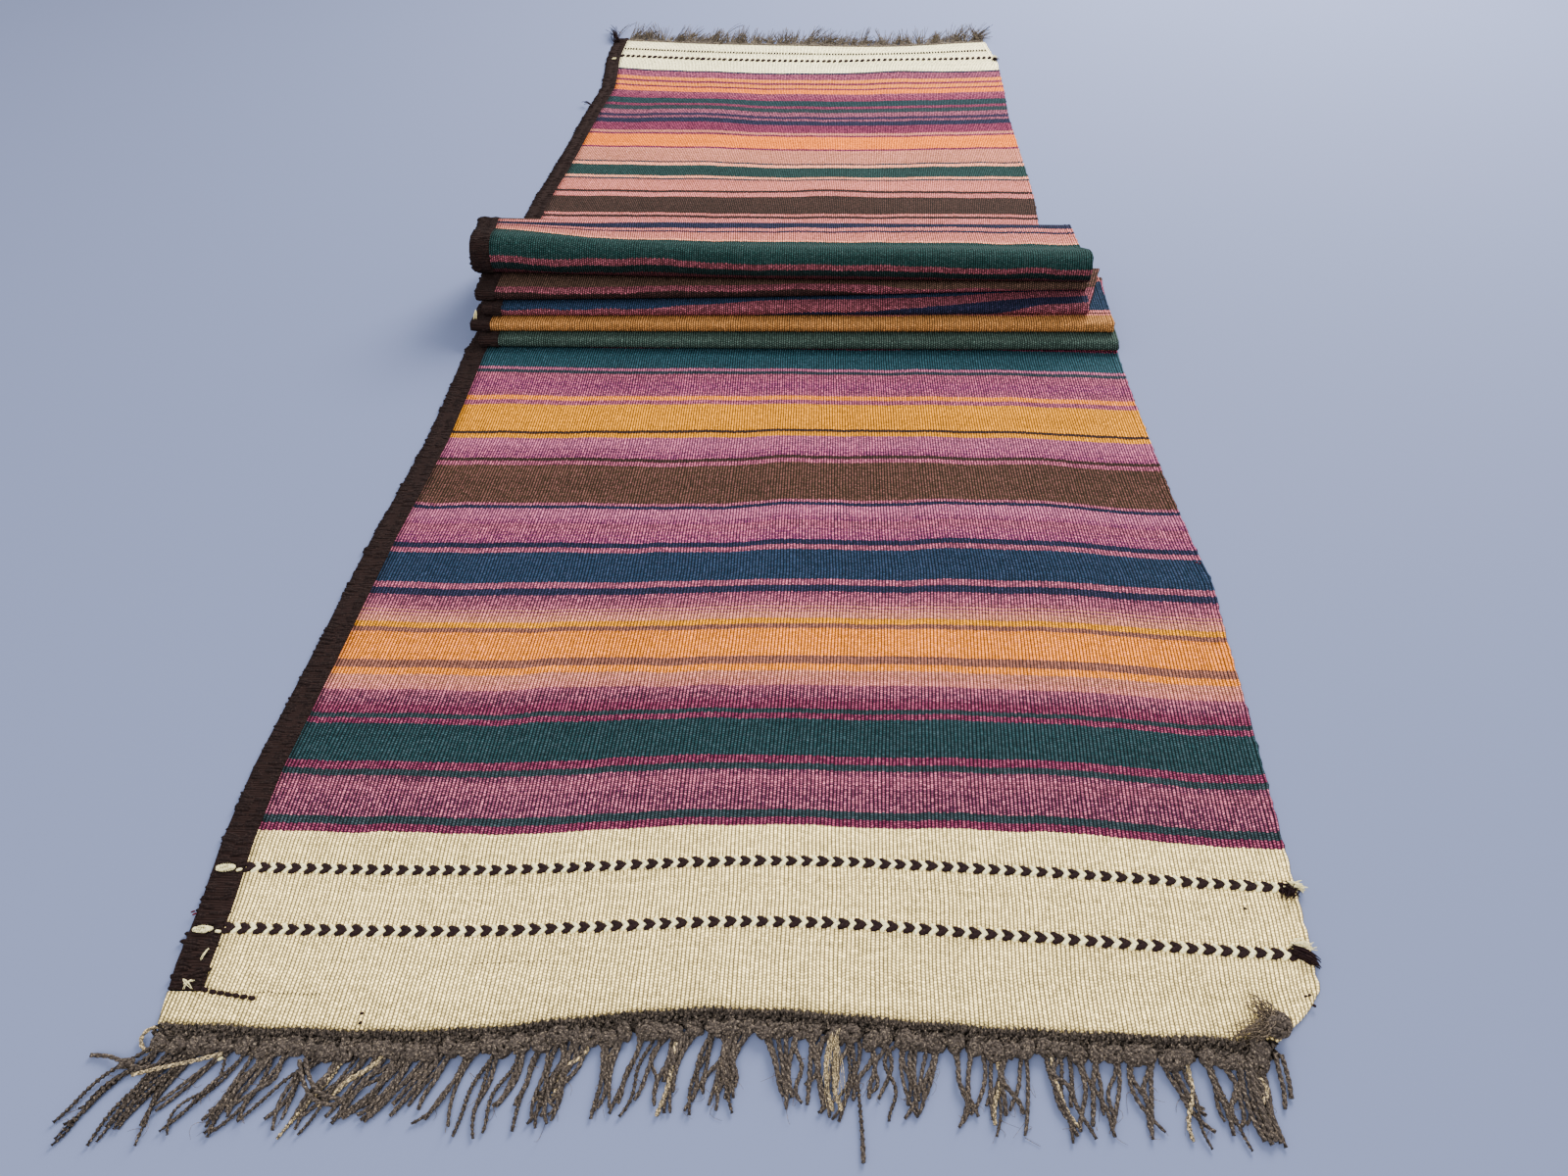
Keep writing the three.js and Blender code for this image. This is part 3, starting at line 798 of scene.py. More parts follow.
heather = n.grain(uv, 300.0, 260.0, 2.0)
flecked = n.clamp(n.math("MULTIPLY", n.math("SUBTRACT", heather, 0.52), 2.4), 0.0, 0.6)
rib_wave = n.ridges(rib_place)
weft_place = n.scaled(rib_side, 0.5, n.math("DIVIDE", split.outputs[1], WEFT * MM))
weft_sway = n.grain(uv, 340.0, 60.0, 1.0)
weft_place = n.scaled(weft_sway, 1.6, weft_place)
weft_wave = n.ridges(weft_place)
bead = n.math("MULTIPLY", n.scaled(weft_wave, 0.6, 0.4), rib_wave)
fuzz = n.noise(uv, 900.0, 3.0)
height = n.scaled(fuzz, 0.25, bead)

# Uneven dye: slow bands along the weft, blotches, and beads of weft that are each a little lighter
# or darker. The gaps between the ribs and the wefts are darkened with painted shade.
bands = n.grain(uv, 2.6, 240.0, 3.0)
wide_bands = n.grain(uv, 1.2, 38.0, 2.0)
blotch = n.noise(uv, 9.0, 4.0)
cell = n.add("ShaderNodeCombineXYZ", {0: rib_number, 1: n.math("FLOOR", weft_place)}).outputs[0]
fleck = n.add("ShaderNodeTexWhiteNoise", {"Vector": cell}, noise_dimensions="2D").outputs[0]
light = n.scaled(bands, 0.55, 0.45)
light = n.scaled(wide_bands, 0.45, light)
light = n.scaled(n.math("SUBTRACT", blotch, 0.5), 0.30, light)
light = n.scaled(n.math("SUBTRACT", fleck, 0.5), 0.5, light)
light = n.math("MULTIPLY", light, n.scaled(flecked, 1.2, 0.90))
# Painted shade: the tone falls almost to nothing in the gaps between the ribs and between the beads of weft.
light = n.math("MULTIPLY", light, n.scaled(n.math("POWER", bead, 1.3), 2.5, 0.03))

# Where pale wool is spun in, single beads of weft and short runs of them are pale pink.
# The pale pink gathers on the tops of the beads, as a painted highlight.
pale_run = n.grain(uv, 120.0, 330.0, 2.0)
pale_wool_and_highlight = n.scaled(pale_run, 0.8, n.math("MULTIPLY", fleck, 0.3))
pale_wool_and_highlight = n.scaled(bead, 0.7, pale_wool_and_highlight)
pale_wool_and_highlight = n.clamp(n.math("MULTIPLY", n.math("SUBTRACT", pale_wool_and_highlight, 0.95), 2.2), 0.0, 0.8)
colour = n.mix(n.math("MULTIPLY", pale_wool_and_highlight, spun_in), colour, (*dye(214, 158, 172), 1.0))
n.finish(wool_shader, n.shaded(colour, light), height, 1.0, 1.3 * MM)
dress(woven, wool_material)
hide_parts("kilim_cloth")

# The binding: dark brown wool wrapped closely over the edge cords down the whole left side, so that
# it makes one thick band with fine crosswise ridges. It takes every fold with the cloth.
BINDING_START = 23.5
BINDING_PAST = 14.0
BINDING_RING = 26
BINDING_ROUND = 60.0
BINDING_TURN = 2.2
turn_angle = np.linspace(0, 2 * np.pi, BINDING_RING, endpoint=False)
section_wide = np.sign(np.cos(turn_angle)) * np.abs(np.cos(turn_angle)) ** 0.45
section_high = np.sign(np.sin(turn_angle)) * np.abs(np.sin(turn_angle)) ** 0.7
edge_line, binding_length = along_runner(np.array([0.0]), BINDING_WIDE + GAP, BINDING_THICK / 2)
keep = binding_length > BINDING_START
edge_line, binding_length = edge_line[:, keep], binding_length[keep]
past = edge_line[:, -1:].copy()
past[1] += BINDING_PAST
edge_line = np.concatenate([edge_line, past], axis=1)
binding_length = np.append(binding_length, binding_length[-1] + BINDING_PAST)
line_x, line_y, line_z, line_heading = edge_line
sideways = -(GAP + BINDING_WIDE / 2) + section_wide[None, :] * BINDING_WIDE / 2
binding_out = section_high[None, :] * BINDING_THICK / 2
binding_points = thicken([line_x, line_y, line_z, line_heading], binding_out, sideways)
binding_rows = len(binding_length)
around = np.linspace(0, 1, BINDING_RING)[None, :] * BINDING_ROUND
binding_uv = np.stack(np.broadcast_arrays(around, binding_length[:, None]), axis=-1) * MM
binding = new_object(
    "left_binding",
    binding_points.reshape(-1, 3),
    ring_faces(binding_rows, BINDING_RING)[:, ::-1],
    binding_uv.reshape(-1, 2),
)
binding_material, binding_shader, binding_tree = new_material("wrapped_brown_wool", 0.95)
n = Nodes(binding_tree)
uv = n.add("ShaderNodeUVMap", uv_map="cloth").outputs[0]
split = n.add("ShaderNodeSeparateXYZ", {0: uv})
uneven = n.grain(uv, 60.0, 90.0, 2.0)
wrap_place = n.scaled(uneven, 0.9, n.math("DIVIDE", split.outputs[1], BINDING_TURN * MM))
wrap = n.ridges(wrap_place)
fuzz = n.grain(uv, 300.0, 900.0, 3.0)
height = n.scaled(fuzz, 0.6, wrap)
# Painted highlight and shade: the tone is lighter on the tops of the turns and darker in the grooves between
# them, and uneven with the fuzz.
tone = n.scaled(n.math("MULTIPLY", height, fuzz), 1.1, 0.35)
n.finish(binding_shader, n.shaded((*dye(60, 38, 34), 1.0), tone), height, 0.9, 0.8 * MM)
dress(binding, binding_material)
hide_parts("side_binding")

# Wraps of the binding: each turn of yarn is two stitches, one from either edge, which overlap at the
# middle and cross at a small slant. They go in small bunches, so the edges are ragged and stepped.
WRAP_PITCH = 2.7
WRAP_PROUD = 0.8
WRAP_BUNCH = 4

# The lowest place of any yarn, in metres.
ON_FLOOR = 0.0002


def ball_grid(cuts):
    """A ball of unit radius made of a cube's six sides, each cut into cuts by cuts faces."""
    steps = np.linspace(-1, 1, cuts + 1)
    a, b = (part.ravel() for part in np.meshgrid(steps, steps, indexing="ij"))
    one = np.ones(a.size)
    sides = [(one, a, b), (-one, b, a), (b, one, a), (a, -one, b), (a, b, one), (b, a, -one)]
    points = np.concatenate([np.stack(side, axis=-1) for side in sides])
    r, c = np.meshgrid(np.arange(cuts), np.arange(cuts), indexing="ij")
    k = (r * (cuts + 1) + c).ravel()
    quad = np.stack([k, k + cuts + 1, k + cuts + 2, k + 1], axis=-1)
    faces = np.concatenate([quad + side * (cuts + 1) ** 2 for side in range(6)])
    points, shared = np.unique(np.round(points, 6), axis=0, return_inverse=True)
    faces = shared.ravel()[faces]
    return points / np.linalg.norm(points, axis=1, keepdims=True), faces


def pods(name, middle, long, wide, high, cuts=2, square=1.0):
    """Rounded blocks joined into one mesh: each is a ball whose three axes are the vectors long,
    wide and high round its middle. square under 1 fills the ball out towards its box."""
    ball, faces = ball_grid(cuts)
    ball = np.sign(ball) * np.abs(ball) ** square
    axes = np.stack([long, wide, high], axis=1)
    points = middle[:, None, :] + np.einsum("pk,nkc->npc", ball, axes)
    points[:, :, 2] = np.maximum(points[:, :, 2], ON_FLOOR)
    shift = np.arange(len(middle))[:, None, None] * len(ball)
    joined = (faces[None] + shift).reshape(-1, 4)
    around = np.arange(len(middle))[:, None] + ball[None, :, 1] * 0.4
    where = np.stack(np.broadcast_arrays(ball[None, :, 0], around), axis=-1)
    return new_object(name, points.reshape(-1, 3), joined, where.reshape(-1, 2))


def sheet_frame(line, length, at, out):
    """Places on a sheet's face at the lengths at along one of its lines: the point, and the unit
    vectors across the sheet, along it and out of it."""
    x, y, z, heading = (np.interp(at, length, values.ravel()) for values in line)
    zero = np.zeros(len(at))
    along = np.stack([zero, np.cos(heading), np.sin(heading)], axis=-1)
    normal = np.stack([zero, -np.sin(heading), np.cos(heading)], axis=-1)
    middle = np.stack([x, y - MIDDLE_Y, z], axis=-1) + normal * np.reshape(out, (-1, 1))
    return middle, np.broadcast_to([1.0, 0.0, 0.0], middle.shape), along, normal


def yarn_material(name, dark, middle, pale, pale_share, plied=False):
    """Wool yarn: dark and middle tones, with flecks of a pale one over pale_share of it, and fine
    fuzz. On plied yarn the groove between the plies, where the cosine of UV's angle is nought,
    is darkened with painted shade."""
    material, shader, tree = new_material(name, 0.95)
    n = Nodes(tree)
    where = n.add("ShaderNodeTexCoord").outputs["Object"]
    fleck = n.noise(where, 900.0, 2.0)
    ramp = n.add("ShaderNodeValToRGB", {0: fleck})
    stops = ramp.color_ramp.elements
    stops[0].position = 0.36
    stops[0].color = (*dye(*dark), 1.0)
    stops[1].position = 0.72 - pale_share * 0.4
    stops[1].color = (*dye(*pale), 1.0)
    stop = stops.new(0.62 - pale_share * 0.4)
    stop.color = (*dye(*middle), 1.0)
    fuzz = n.noise(where, 1600.0, 3.0)
    colour = ramp.outputs[0]
    if plied:
        uv = n.add("ShaderNodeUVMap", uv_map="cloth").outputs[0]
        angle = n.add("ShaderNodeSeparateXYZ", {0: uv}).outputs[1]
        # Painted shade in the groove between the plies.
        lobe = n.math("ABSOLUTE", n.math("COSINE", n.math("DIVIDE", angle, MM)))
        colour = n.shaded(colour, n.scaled(lobe, 0.8, 0.42))
    n.finish(shader, colour, fuzz, 0.5, 0.5 * MM)
    return material


chance = np.random.default_rng(7)
wrap_at = np.repeat(np.arange(binding_length[0] + 1, binding_length[-1] - 1, WRAP_PITCH), 2)
wraps = len(wrap_at)
wrap_side = np.tile([-1.0, 1.0], wraps // 2)
wrap_at = wrap_at + chance.normal(0.0, 0.35, wraps)
middle, side, along, normal = sheet_frame(edge_line, binding_length, wrap_at, np.zeros(wraps))
bunches = chance.normal(0.0, 1.0, (2, wraps // (2 * WRAP_BUNCH) + 1))
bunch_of = np.arange(wraps) // (2 * WRAP_BUNCH)
ragged = np.where(wrap_side < 0, bunches[0][bunch_of], bunches[1][bunch_of] * 0.5)
near_end = 1 + 1.3 * np.exp(-np.arange(wraps) * WRAP_PITCH / 2 / 60.0)
past_edge = 0.4 + (ragged * 0.8 + chance.normal(0.0, 0.7, wraps)) * near_end
past_middle = chance.uniform(-5.0, 4.0, wraps)
reach = (BINDING_WIDE / 2 + past_edge + past_middle) / 2
place = -(GAP + BINDING_WIDE / 2) + wrap_side * (BINDING_WIDE / 2 + past_edge - reach)
slant = wrap_side * 0.1 + chance.normal(0.0, 0.1, wraps) * near_end
thick = BINDING_THICK / 2 + WRAP_PROUD + chance.normal(0.0, 0.45, wraps) * near_end
wrapping = pods(
    "binding_wraps",
    (middle + side * place[:, None]) * MM,
    (side + along * slant[:, None]) * reach[:, None] * MM,
    along * chance.uniform(0.5, 0.72, (wraps, 1)) * WRAP_PITCH * MM,
    normal * thick[:, None] * MM,
    cuts=2,
    square=0.72,
)
binding_yarn = yarn_material("binding_yarn", (32, 21, 21), (54, 36, 33), (92, 68, 60), 0.1)
dress(wrapping, binding_yarn)

# The twined lines: two yarns, one dark brown and one white, wrapped round each other and round the
# warps in two passes whose slants meet, so that they make a row of arrowheads. The far end has one
# pass, a line of slanted dashes, and a fine dotted one where a dark yarn comes up between warps.
CHEVRON = [
    {"tone": "dark", "shift": 0.0, "long": 0.43, "wide": 0.74, "slant": 0.45, "high": 1.8},
    {"tone": "white", "shift": 0.5, "long": 0.36, "wide": 0.58, "slant": 0.75, "high": 1.5},
]
DASH = [{"tone": "dark", "shift": 0.0, "long": 0.33, "wide": 0.9, "slant": 0.4, "high": 3.2}]
DOT = [{"tone": "dark", "shift": 0.0, "long": 0.3, "wide": 0.9, "slant": 0.0, "high": 2.6}]
TWINED_LINES = [
    {"name": "twining_near_1", "along": 70, "pitch": 12.2, "half": 3.3, "passes": (-1, 1), "yarns": CHEVRON},
    {"name": "twining_near_2", "along": 124, "pitch": 12.2, "half": 3.3, "passes": (-1, 1), "yarns": CHEVRON},
    {"name": "twining_far_1", "along": 1989, "pitch": 10.8, "half": 6.2, "passes": (1,), "yarns": DASH},
    {"name": "twining_far_2", "along": 2031, "pitch": 5.8, "half": 4.0, "passes": (1,), "yarns": DOT},
]


def flat_outline(along):
    """The outline of the flat end that the place along is on."""
    return NEAR_OUTLINE if along < NEAR_FLAT else FAR_OUTLINE


def on_flat(x, along, out):
    """A point on the upper face of a flat end, at x across and at the place along: y is the place
    moved by the weft bow, and z the cloth's thickness plus out and the swells."""
    outline = flat_outline(along)
    left = np.interp(along, outline[:, 0], outline[:, 1])
    wide = np.interp(along, outline[:, 0], outline[:, 2]) - left
    y = along + weft_bow(2 * (x - left) / wide - 1, np.broadcast_to(along, x.shape).astype(float))
    return np.stack([x, y - MIDDLE_Y, CLOTH_THICK + out + swell_height(x, along)], axis=-1)


dark_yarn = yarn_material("dark_brown_yarn", (40, 24, 26), (58, 36, 36), (92, 62, 58), 0.05)
white_yarn = yarn_material("off_white_yarn", (196, 188, 168), (226, 220, 206), (240, 236, 226), 0.5)
TWINING_YARNS = {"dark": dark_yarn, "white": white_yarn}
for line in TWINED_LINES:
    outline = flat_outline(line["along"])
    first = np.interp(line["along"], outline[:, 0], outline[:, 1]) + BINDING_WIDE + 4
    last = np.interp(line["along"], outline[:, 0], outline[:, 2]) - 5
    passes = np.array(line["passes"], float)
    for yarn in line["yarns"]:
        start = np.arange(first + yarn["shift"] * line["pitch"], last, line["pitch"])
        x = np.repeat(start, len(passes)) + chance.normal(0.0, 0.3, len(passes) * len(start))
        pass_side = np.tile(passes, len(start))
        offset = pass_side * line["half"] * 0.5 * (len(passes) > 1)
        base = on_flat(x, line["along"], 0.2)
        ahead_of = on_flat(x + 1.0, line["along"], 0.2)
        way = (ahead_of - base) / np.linalg.norm(ahead_of - base, axis=1, keepdims=True)
        across_way = np.stack([-way[:, 1], way[:, 0], np.zeros(len(x))], axis=-1)
        middle = base + across_way * offset[:, None]
        angle = (yarn["slant"] * pass_side * chance.normal(1.0, 0.12, len(x)))[:, None]
        size = chance.normal(1.0, 0.06, (len(x), 1))
        row = pods(
            f"{line['name']}_{yarn['tone']}",
            middle * MM,
            (way * np.cos(angle) - across_way * np.sin(angle)) * size * (line["pitch"] * yarn["long"]) * MM,
            (across_way * np.cos(angle) + way * np.sin(angle)) * size * (line["half"] * yarn["wide"]) * MM,
            np.broadcast_to([0.0, 0.0, 1.0], middle.shape) * yarn["high"] * MM,
            cuts=3,
            square=0.8,
        )
        dress(row, TWINING_YARNS[yarn["tone"]])

# The near fringe: warp ends of grey-brown two-ply wool, knotted into a thick heading against the
# cloth's edge and left loose beyond it. The heading's loose end is tied in a knot over the corner.
NEAR_HEADING = {"deep": 18.0, "left": -408.0, "right": 366.0}
FRINGE_KNOT_PITCH = 12.0
PLY_TURN = 11.0
YARN_SIDES = 8


def cloth_edge(outline_row, x):
    """Where the cloth's edge at a row of its outline lies at x: its place, moved by the bow."""
    along, left, right_edge = outline_row
    places = np.full(np.shape(x), float(along))
    return places + weft_bow(2 * (x - left) / (right_edge - left) - 1, places)


def yarns(name, paths, radius, turn=PLY_TURN, sides=YARN_SIDES, lobe=0.3):
    """Two-ply yarns joined into one mesh. Each path carries a section of two round lobes, whose
    radius is greatest along one line and least across it, and that turns once in every turn
    millimetres of the yarn. paths is yarns by points by 3, radius is yarns by points."""
    way = np.gradient(paths, axis=1)
    way /= np.linalg.norm(way, axis=2, keepdims=True) + 1e-9
    side = np.cross(way, [0.0, 0.0, 1.0])
    side /= np.linalg.norm(side, axis=2, keepdims=True) + 1e-9
    up = np.cross(side, way)
    steps = np.linalg.norm(np.diff(paths, axis=1), axis=2)
    run = np.concatenate([np.zeros((len(paths), 1)), np.cumsum(steps, axis=1)], axis=1)
    angle = np.linspace(0, 2 * np.pi, sides, endpoint=False)
    twist = run * 2 * np.pi / turn + np.arange(len(paths))[:, None] * 2.4
    swell = 1 - lobe + lobe * np.abs(np.cos(angle))[None, None, :] * 1.6
    turned_angle = angle[None, None, :] + twist[:, :, None]
    reach = (radius[:, :, None] * swell)[..., None]
    outwards = side[:, :, None, :] * np.cos(turned_angle)[..., None]
    outwards = outwards + up[:, :, None, :] * np.sin(turned_angle)[..., None]
    points = paths[:, :, None, :] + reach * outwards
    points[..., 2] = np.maximum(points[..., 2], ON_FLOOR / MM)
    faces = ring_faces(paths.shape[1], sides)
    shift = np.arange(len(paths))[:, None, None] * paths.shape[1] * sides
    joined = (faces[None] + shift).reshape(-1, 4)
    where = np.stack(np.broadcast_arrays(run[:, :, None], angle[None, None, :]), axis=-1)
    return new_object(name, points.reshape(-1, 3) * MM, joined[:, ::-1], where.reshape(-1, 2) * MM)


def smooth_path(points, count):
    """A smooth curve of count points through points that are about evenly spaced."""
    u = np.linspace(-1, 1, count)
    return np.stack([curve_through(values, u) for values in np.array(points, float).T], axis=-1)


def random_loops(middle, size, loops, count):
    """Loops of yarn in random planes round each middle, as in a knot. size holds the knot's half
    sizes across, along and up."""
    angle = np.linspace(0, 2 * np.pi * 0.97, count)[None, :, None]
    first = chance.normal(0.0, 1.0, (len(middle) * loops, 1, 3))
    first /= np.linalg.norm(first, axis=2, keepdims=True)
    second = np.cross(first, chance.normal(0.0, 1.0, (len(middle) * loops, 1, 3)))
    second /= np.linalg.norm(second, axis=2, keepdims=True)
    reach = chance.uniform(0.45, 1.15, (len(middle) * loops, 1, 1)) * np.array(size)
    circle = first * np.cos(angle) + second * np.sin(angle)
    return np.repeat(middle, loops, axis=0)[:, None, :] + reach * circle


fringe_yarn = yarn_material(
    "grey_brown_yarn", (90, 76, 70), (132, 115, 106), (188, 171, 156), 0.1, plied=True
)
core_yarn = yarn_material("heading_core_yarn", (60, 51, 47), (84, 72, 66), (112, 98, 89), 0.05)
pale_yarn = yarn_material(
    "pale_fringe_yarn", (128, 112, 98), (178, 162, 142), (222, 210, 190), 0.3, plied=True
)

# Its heading: two cords of two yarns each, laid side by side along the cloth's edge and twisted
# opposite ways, and below them a row of knots.
cord_x = np.linspace(NEAR_HEADING["left"] - 1, NEAR_HEADING["right"] + 3, 380)
cord_paths = []
for deep, rise, wind, pitch in [(3.9, 4.4, 1.0, 13.0), (9.6, 4.6, -1.0, 14.5)]:
    for strand in range(2):
        angle = wind * 2 * np.pi * cord_x / pitch + strand * np.pi + 0.9 * np.sin(cord_x / 23.0)
        y = cloth_edge(NEAR_OUTLINE[0], cord_x) - deep - 2.3 * np.cos(angle)
        y = y + 0.6 * np.sin(cord_x / 9.0 + deep)
        z = rise + 1.8 * np.sin(angle) + 0.4 * np.sin(cord_x / 14.0 + deep)
        cord_paths.append(np.stack([cord_x + 0.6 * np.sin(angle * 2), y - MIDDLE_Y, z], axis=-1))
cord_paths = np.array(cord_paths)
heading_cords = yarns("near_heading_cords", cord_paths, np.full(cord_paths.shape[:2], 2.6), turn=8.0)
dress(heading_cords, fringe_yarn)

knots = round((NEAR_HEADING["right"] - NEAR_HEADING["left"]) / FRINGE_KNOT_PITCH)
knot_x = NEAR_HEADING["left"] + (np.arange(knots) + 0.5) * FRINGE_KNOT_PITCH + chance.normal(0.0, 1.6, knots)
knot_y = cloth_edge(NEAR_OUTLINE[0], knot_x) - 15.0 + chance.normal(0.0, 1.3, knots)
knot_middle = np.stack([knot_x, knot_y - MIDDLE_Y, 4.4 + chance.normal(0.0, 0.5, knots)], axis=-1)
knot_paths = random_loops(knot_middle, (6.2, 5.8, 3.0), 7, 20)
knot_paths[:, :, 2] = np.maximum(knot_paths[:, :, 2], 2.2)
knot_row = yarns("near_knots", knot_paths, np.full(knot_paths.shape[:2], 1.9), turn=9.0, sides=6)
dress(knot_row, fringe_yarn)

core_x = np.linspace(NEAR_HEADING["left"] - 1, NEAR_HEADING["right"] + 2, 260)
core_section = np.array([[0.5, 0], [0.5, 2.4], [3, 3.2], [6, 3.4], [9, 3.2], [12, 1.8], [13, 0], [7, 0]])
core_lump = 1 + 0.1 * np.cos(2 * np.pi * core_x / FRINGE_KNOT_PITCH)[:, None]
core_y = cloth_edge(NEAR_OUTLINE[0], core_x)[:, None] - core_section[:, 0] * core_lump
core_z = core_section[:, 1] * core_lump
core_points = np.stack(np.broadcast_arrays(core_x[:, None], core_y - MIDDLE_Y, core_z), axis=-1) * MM
core_faces = ring_faces(len(core_x), len(core_section))
core = new_object("near_heading_core", core_points.reshape(-1, 3), core_faces)
dress(core, core_yarn)
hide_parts("near_fringe")

# Its strands come out of the knots in small bunches. They lean to the left at the left corner and
# hang straighter towards the right, and a few of them are pale.
NEAR_STRANDS = 190
STRAND_POINTS = 22
LEAN_LEFT = ([0, 0.1, 0.25, 0.4, 0.6, 0.8, 1], [0.6, 0.52, 0.36, 0.2, 0.04, 0.0, -0.06])
spare = (chance.uniform(0, 1, NEAR_STRANDS - 2 * knots) ** 1.5 * knots).astype(int)
knot_of = np.sort(np.concatenate([np.repeat(np.arange(knots), 2), spare]))
root_x = knot_x[knot_of] + chance.normal(0.0, 3.0, NEAR_STRANDS)
root_x = np.clip(root_x, NEAR_HEADING["left"] + 2, NEAR_HEADING["right"] - 2)
share_of = (root_x - NEAR_HEADING["left"]) / (NEAR_HEADING["right"] - NEAR_HEADING["left"])
corner = np.exp(-share_of / 0.12)
knot_lean = chance.normal(0.0, 0.12, knots)[knot_of]
knot_bend = chance.normal(0.0, 0.32, knots)[knot_of]
lean = np.interp(share_of, *LEAN_LEFT) + knot_lean + chance.normal(0.0, 0.1, NEAR_STRANDS)
bend = knot_bend + chance.normal(0.0, 0.12, NEAR_STRANDS)
strand_long = chance.uniform(38, 60, NEAR_STRANDS) + 22 * corner
t = np.linspace(0, 1, STRAND_POINTS)[None, :]
sway = chance.normal(0.0, 0.25, NEAR_STRANDS)[:, None] * np.sin(
    t * chance.uniform(5, 10, NEAR_STRANDS)[:, None] + chance.uniform(0, 6, NEAR_STRANDS)[:, None]
)
angle_along = lean[:, None] + bend[:, None] * (t - 0.3) * 1.6 + sway
step = strand_long[:, None] / (STRAND_POINTS - 1)
strand_x = root_x[:, None] - np.cumsum(np.sin(angle_along) * step, axis=1)
root_y = cloth_edge(NEAR_OUTLINE[0], root_x)[:, None] - NEAR_HEADING["deep"] + 3
strand_y = root_y - np.cumsum(np.cos(angle_along) * step, axis=1)
fall = np.clip(1 - t * 2.2, 0, 1) ** 2
lift = chance.uniform(0.0, 3.5, NEAR_STRANDS)[:, None] * np.sin(np.pi * t) ** 2
strand_z = 2.1 + 2.2 * fall + lift
strand_thick = chance.uniform(1.3, 1.7, NEAR_STRANDS)[:, None] * (1 - 0.25 * t**6)
strand_paths = np.stack([strand_x, strand_y - MIDDLE_Y, strand_z], axis=-1)
pale = chance.uniform(0.0, 1.0, NEAR_STRANDS) < 0.04
for name, chosen, material in [("near_strands", ~pale, fringe_yarn), ("near_pale_strands", pale, pale_yarn)]:
    strands = yarns(name, strand_paths[chosen], strand_thick[chosen])
    dress(strands, material)

# The corner knot: the heading's end tied round itself in loops over the corner of the cloth, with
# hairs that have worked loose from it.
corner_middle = np.array([[373.0, 17.0 - MIDDLE_Y, 9.0], [357.0, 0.0 - MIDDLE_Y, 7.0]])
loop_paths = np.concatenate([
    random_loops(corner_middle[:1], (8.0, 8.0, 4.2), 15, 36),
    random_loops(corner_middle[1:], (6.5, 6.5, 3.4), 9, 36),
])
loop_paths[:, :, 2] = np.maximum(loop_paths[:, :, 2], CLOTH_THICK + 1.6)
corner_knot = yarns("corner_knot", loop_paths, np.full(loop_paths.shape[:2], 1.65))
dress(corner_knot, fringe_yarn)


def hair_bunch(starts, ends, spread, lift, count, points=8, lowest=0.8):
    """Hairs in bunches: each goes from a start to an end, both moved at random by the spread, rises
    by lift at its middle, and stays above lowest."""
    pick = np.arange(count) % len(starts)
    start = np.array(starts, float)[pick] + chance.normal(0.0, 1.0, (count, 3)) * spread[0]
    end = np.array(ends, float)[pick] + chance.normal(0.0, 1.0, (count, 3)) * spread[1]
    bow = chance.normal(0.0, 1.0, (count, 3)) * spread[1] * 0.6 + np.array([0.0, 0.0, lift])
    t = np.linspace(0, 1, points)[None, :, None]
    paths = start[:, None] + (end - start)[:, None] * t + bow[:, None] * 4 * t * (1 - t)
    paths[:, :, 1] -= MIDDLE_Y
    paths[:, :, 2] = np.maximum(paths[:, :, 2], lowest)
    return paths


def hair_object(name, paths, thick, material):
    """Fine hairs with square sections, thinner towards their tips."""
    taper = np.linspace(1, 0.45, paths.shape[1])[None, :]
    made = yarns(name, paths, np.full((len(paths), 1), thick) * taper, turn=40.0, sides=4, lobe=0.0)
    dress(made, material)
    return made


brown_hair = yarn_material("loose_brown_wool", (100, 84, 74), (146, 126, 112), (186, 168, 150), 0.2)
knot_hairs = hair_bunch(
    [(368, 22, 8), (366, 14, 8), (372, 25, 8)],
    [(361, 33, 7), (344, 10, 4.5), (352, 6, 5)],
    (2.5, 4.5), 2.0, 90, lowest=CLOTH_THICK + 0.8,
)
hair_object("corner_knot_hairs", knot_hairs, 0.55, brown_hair)

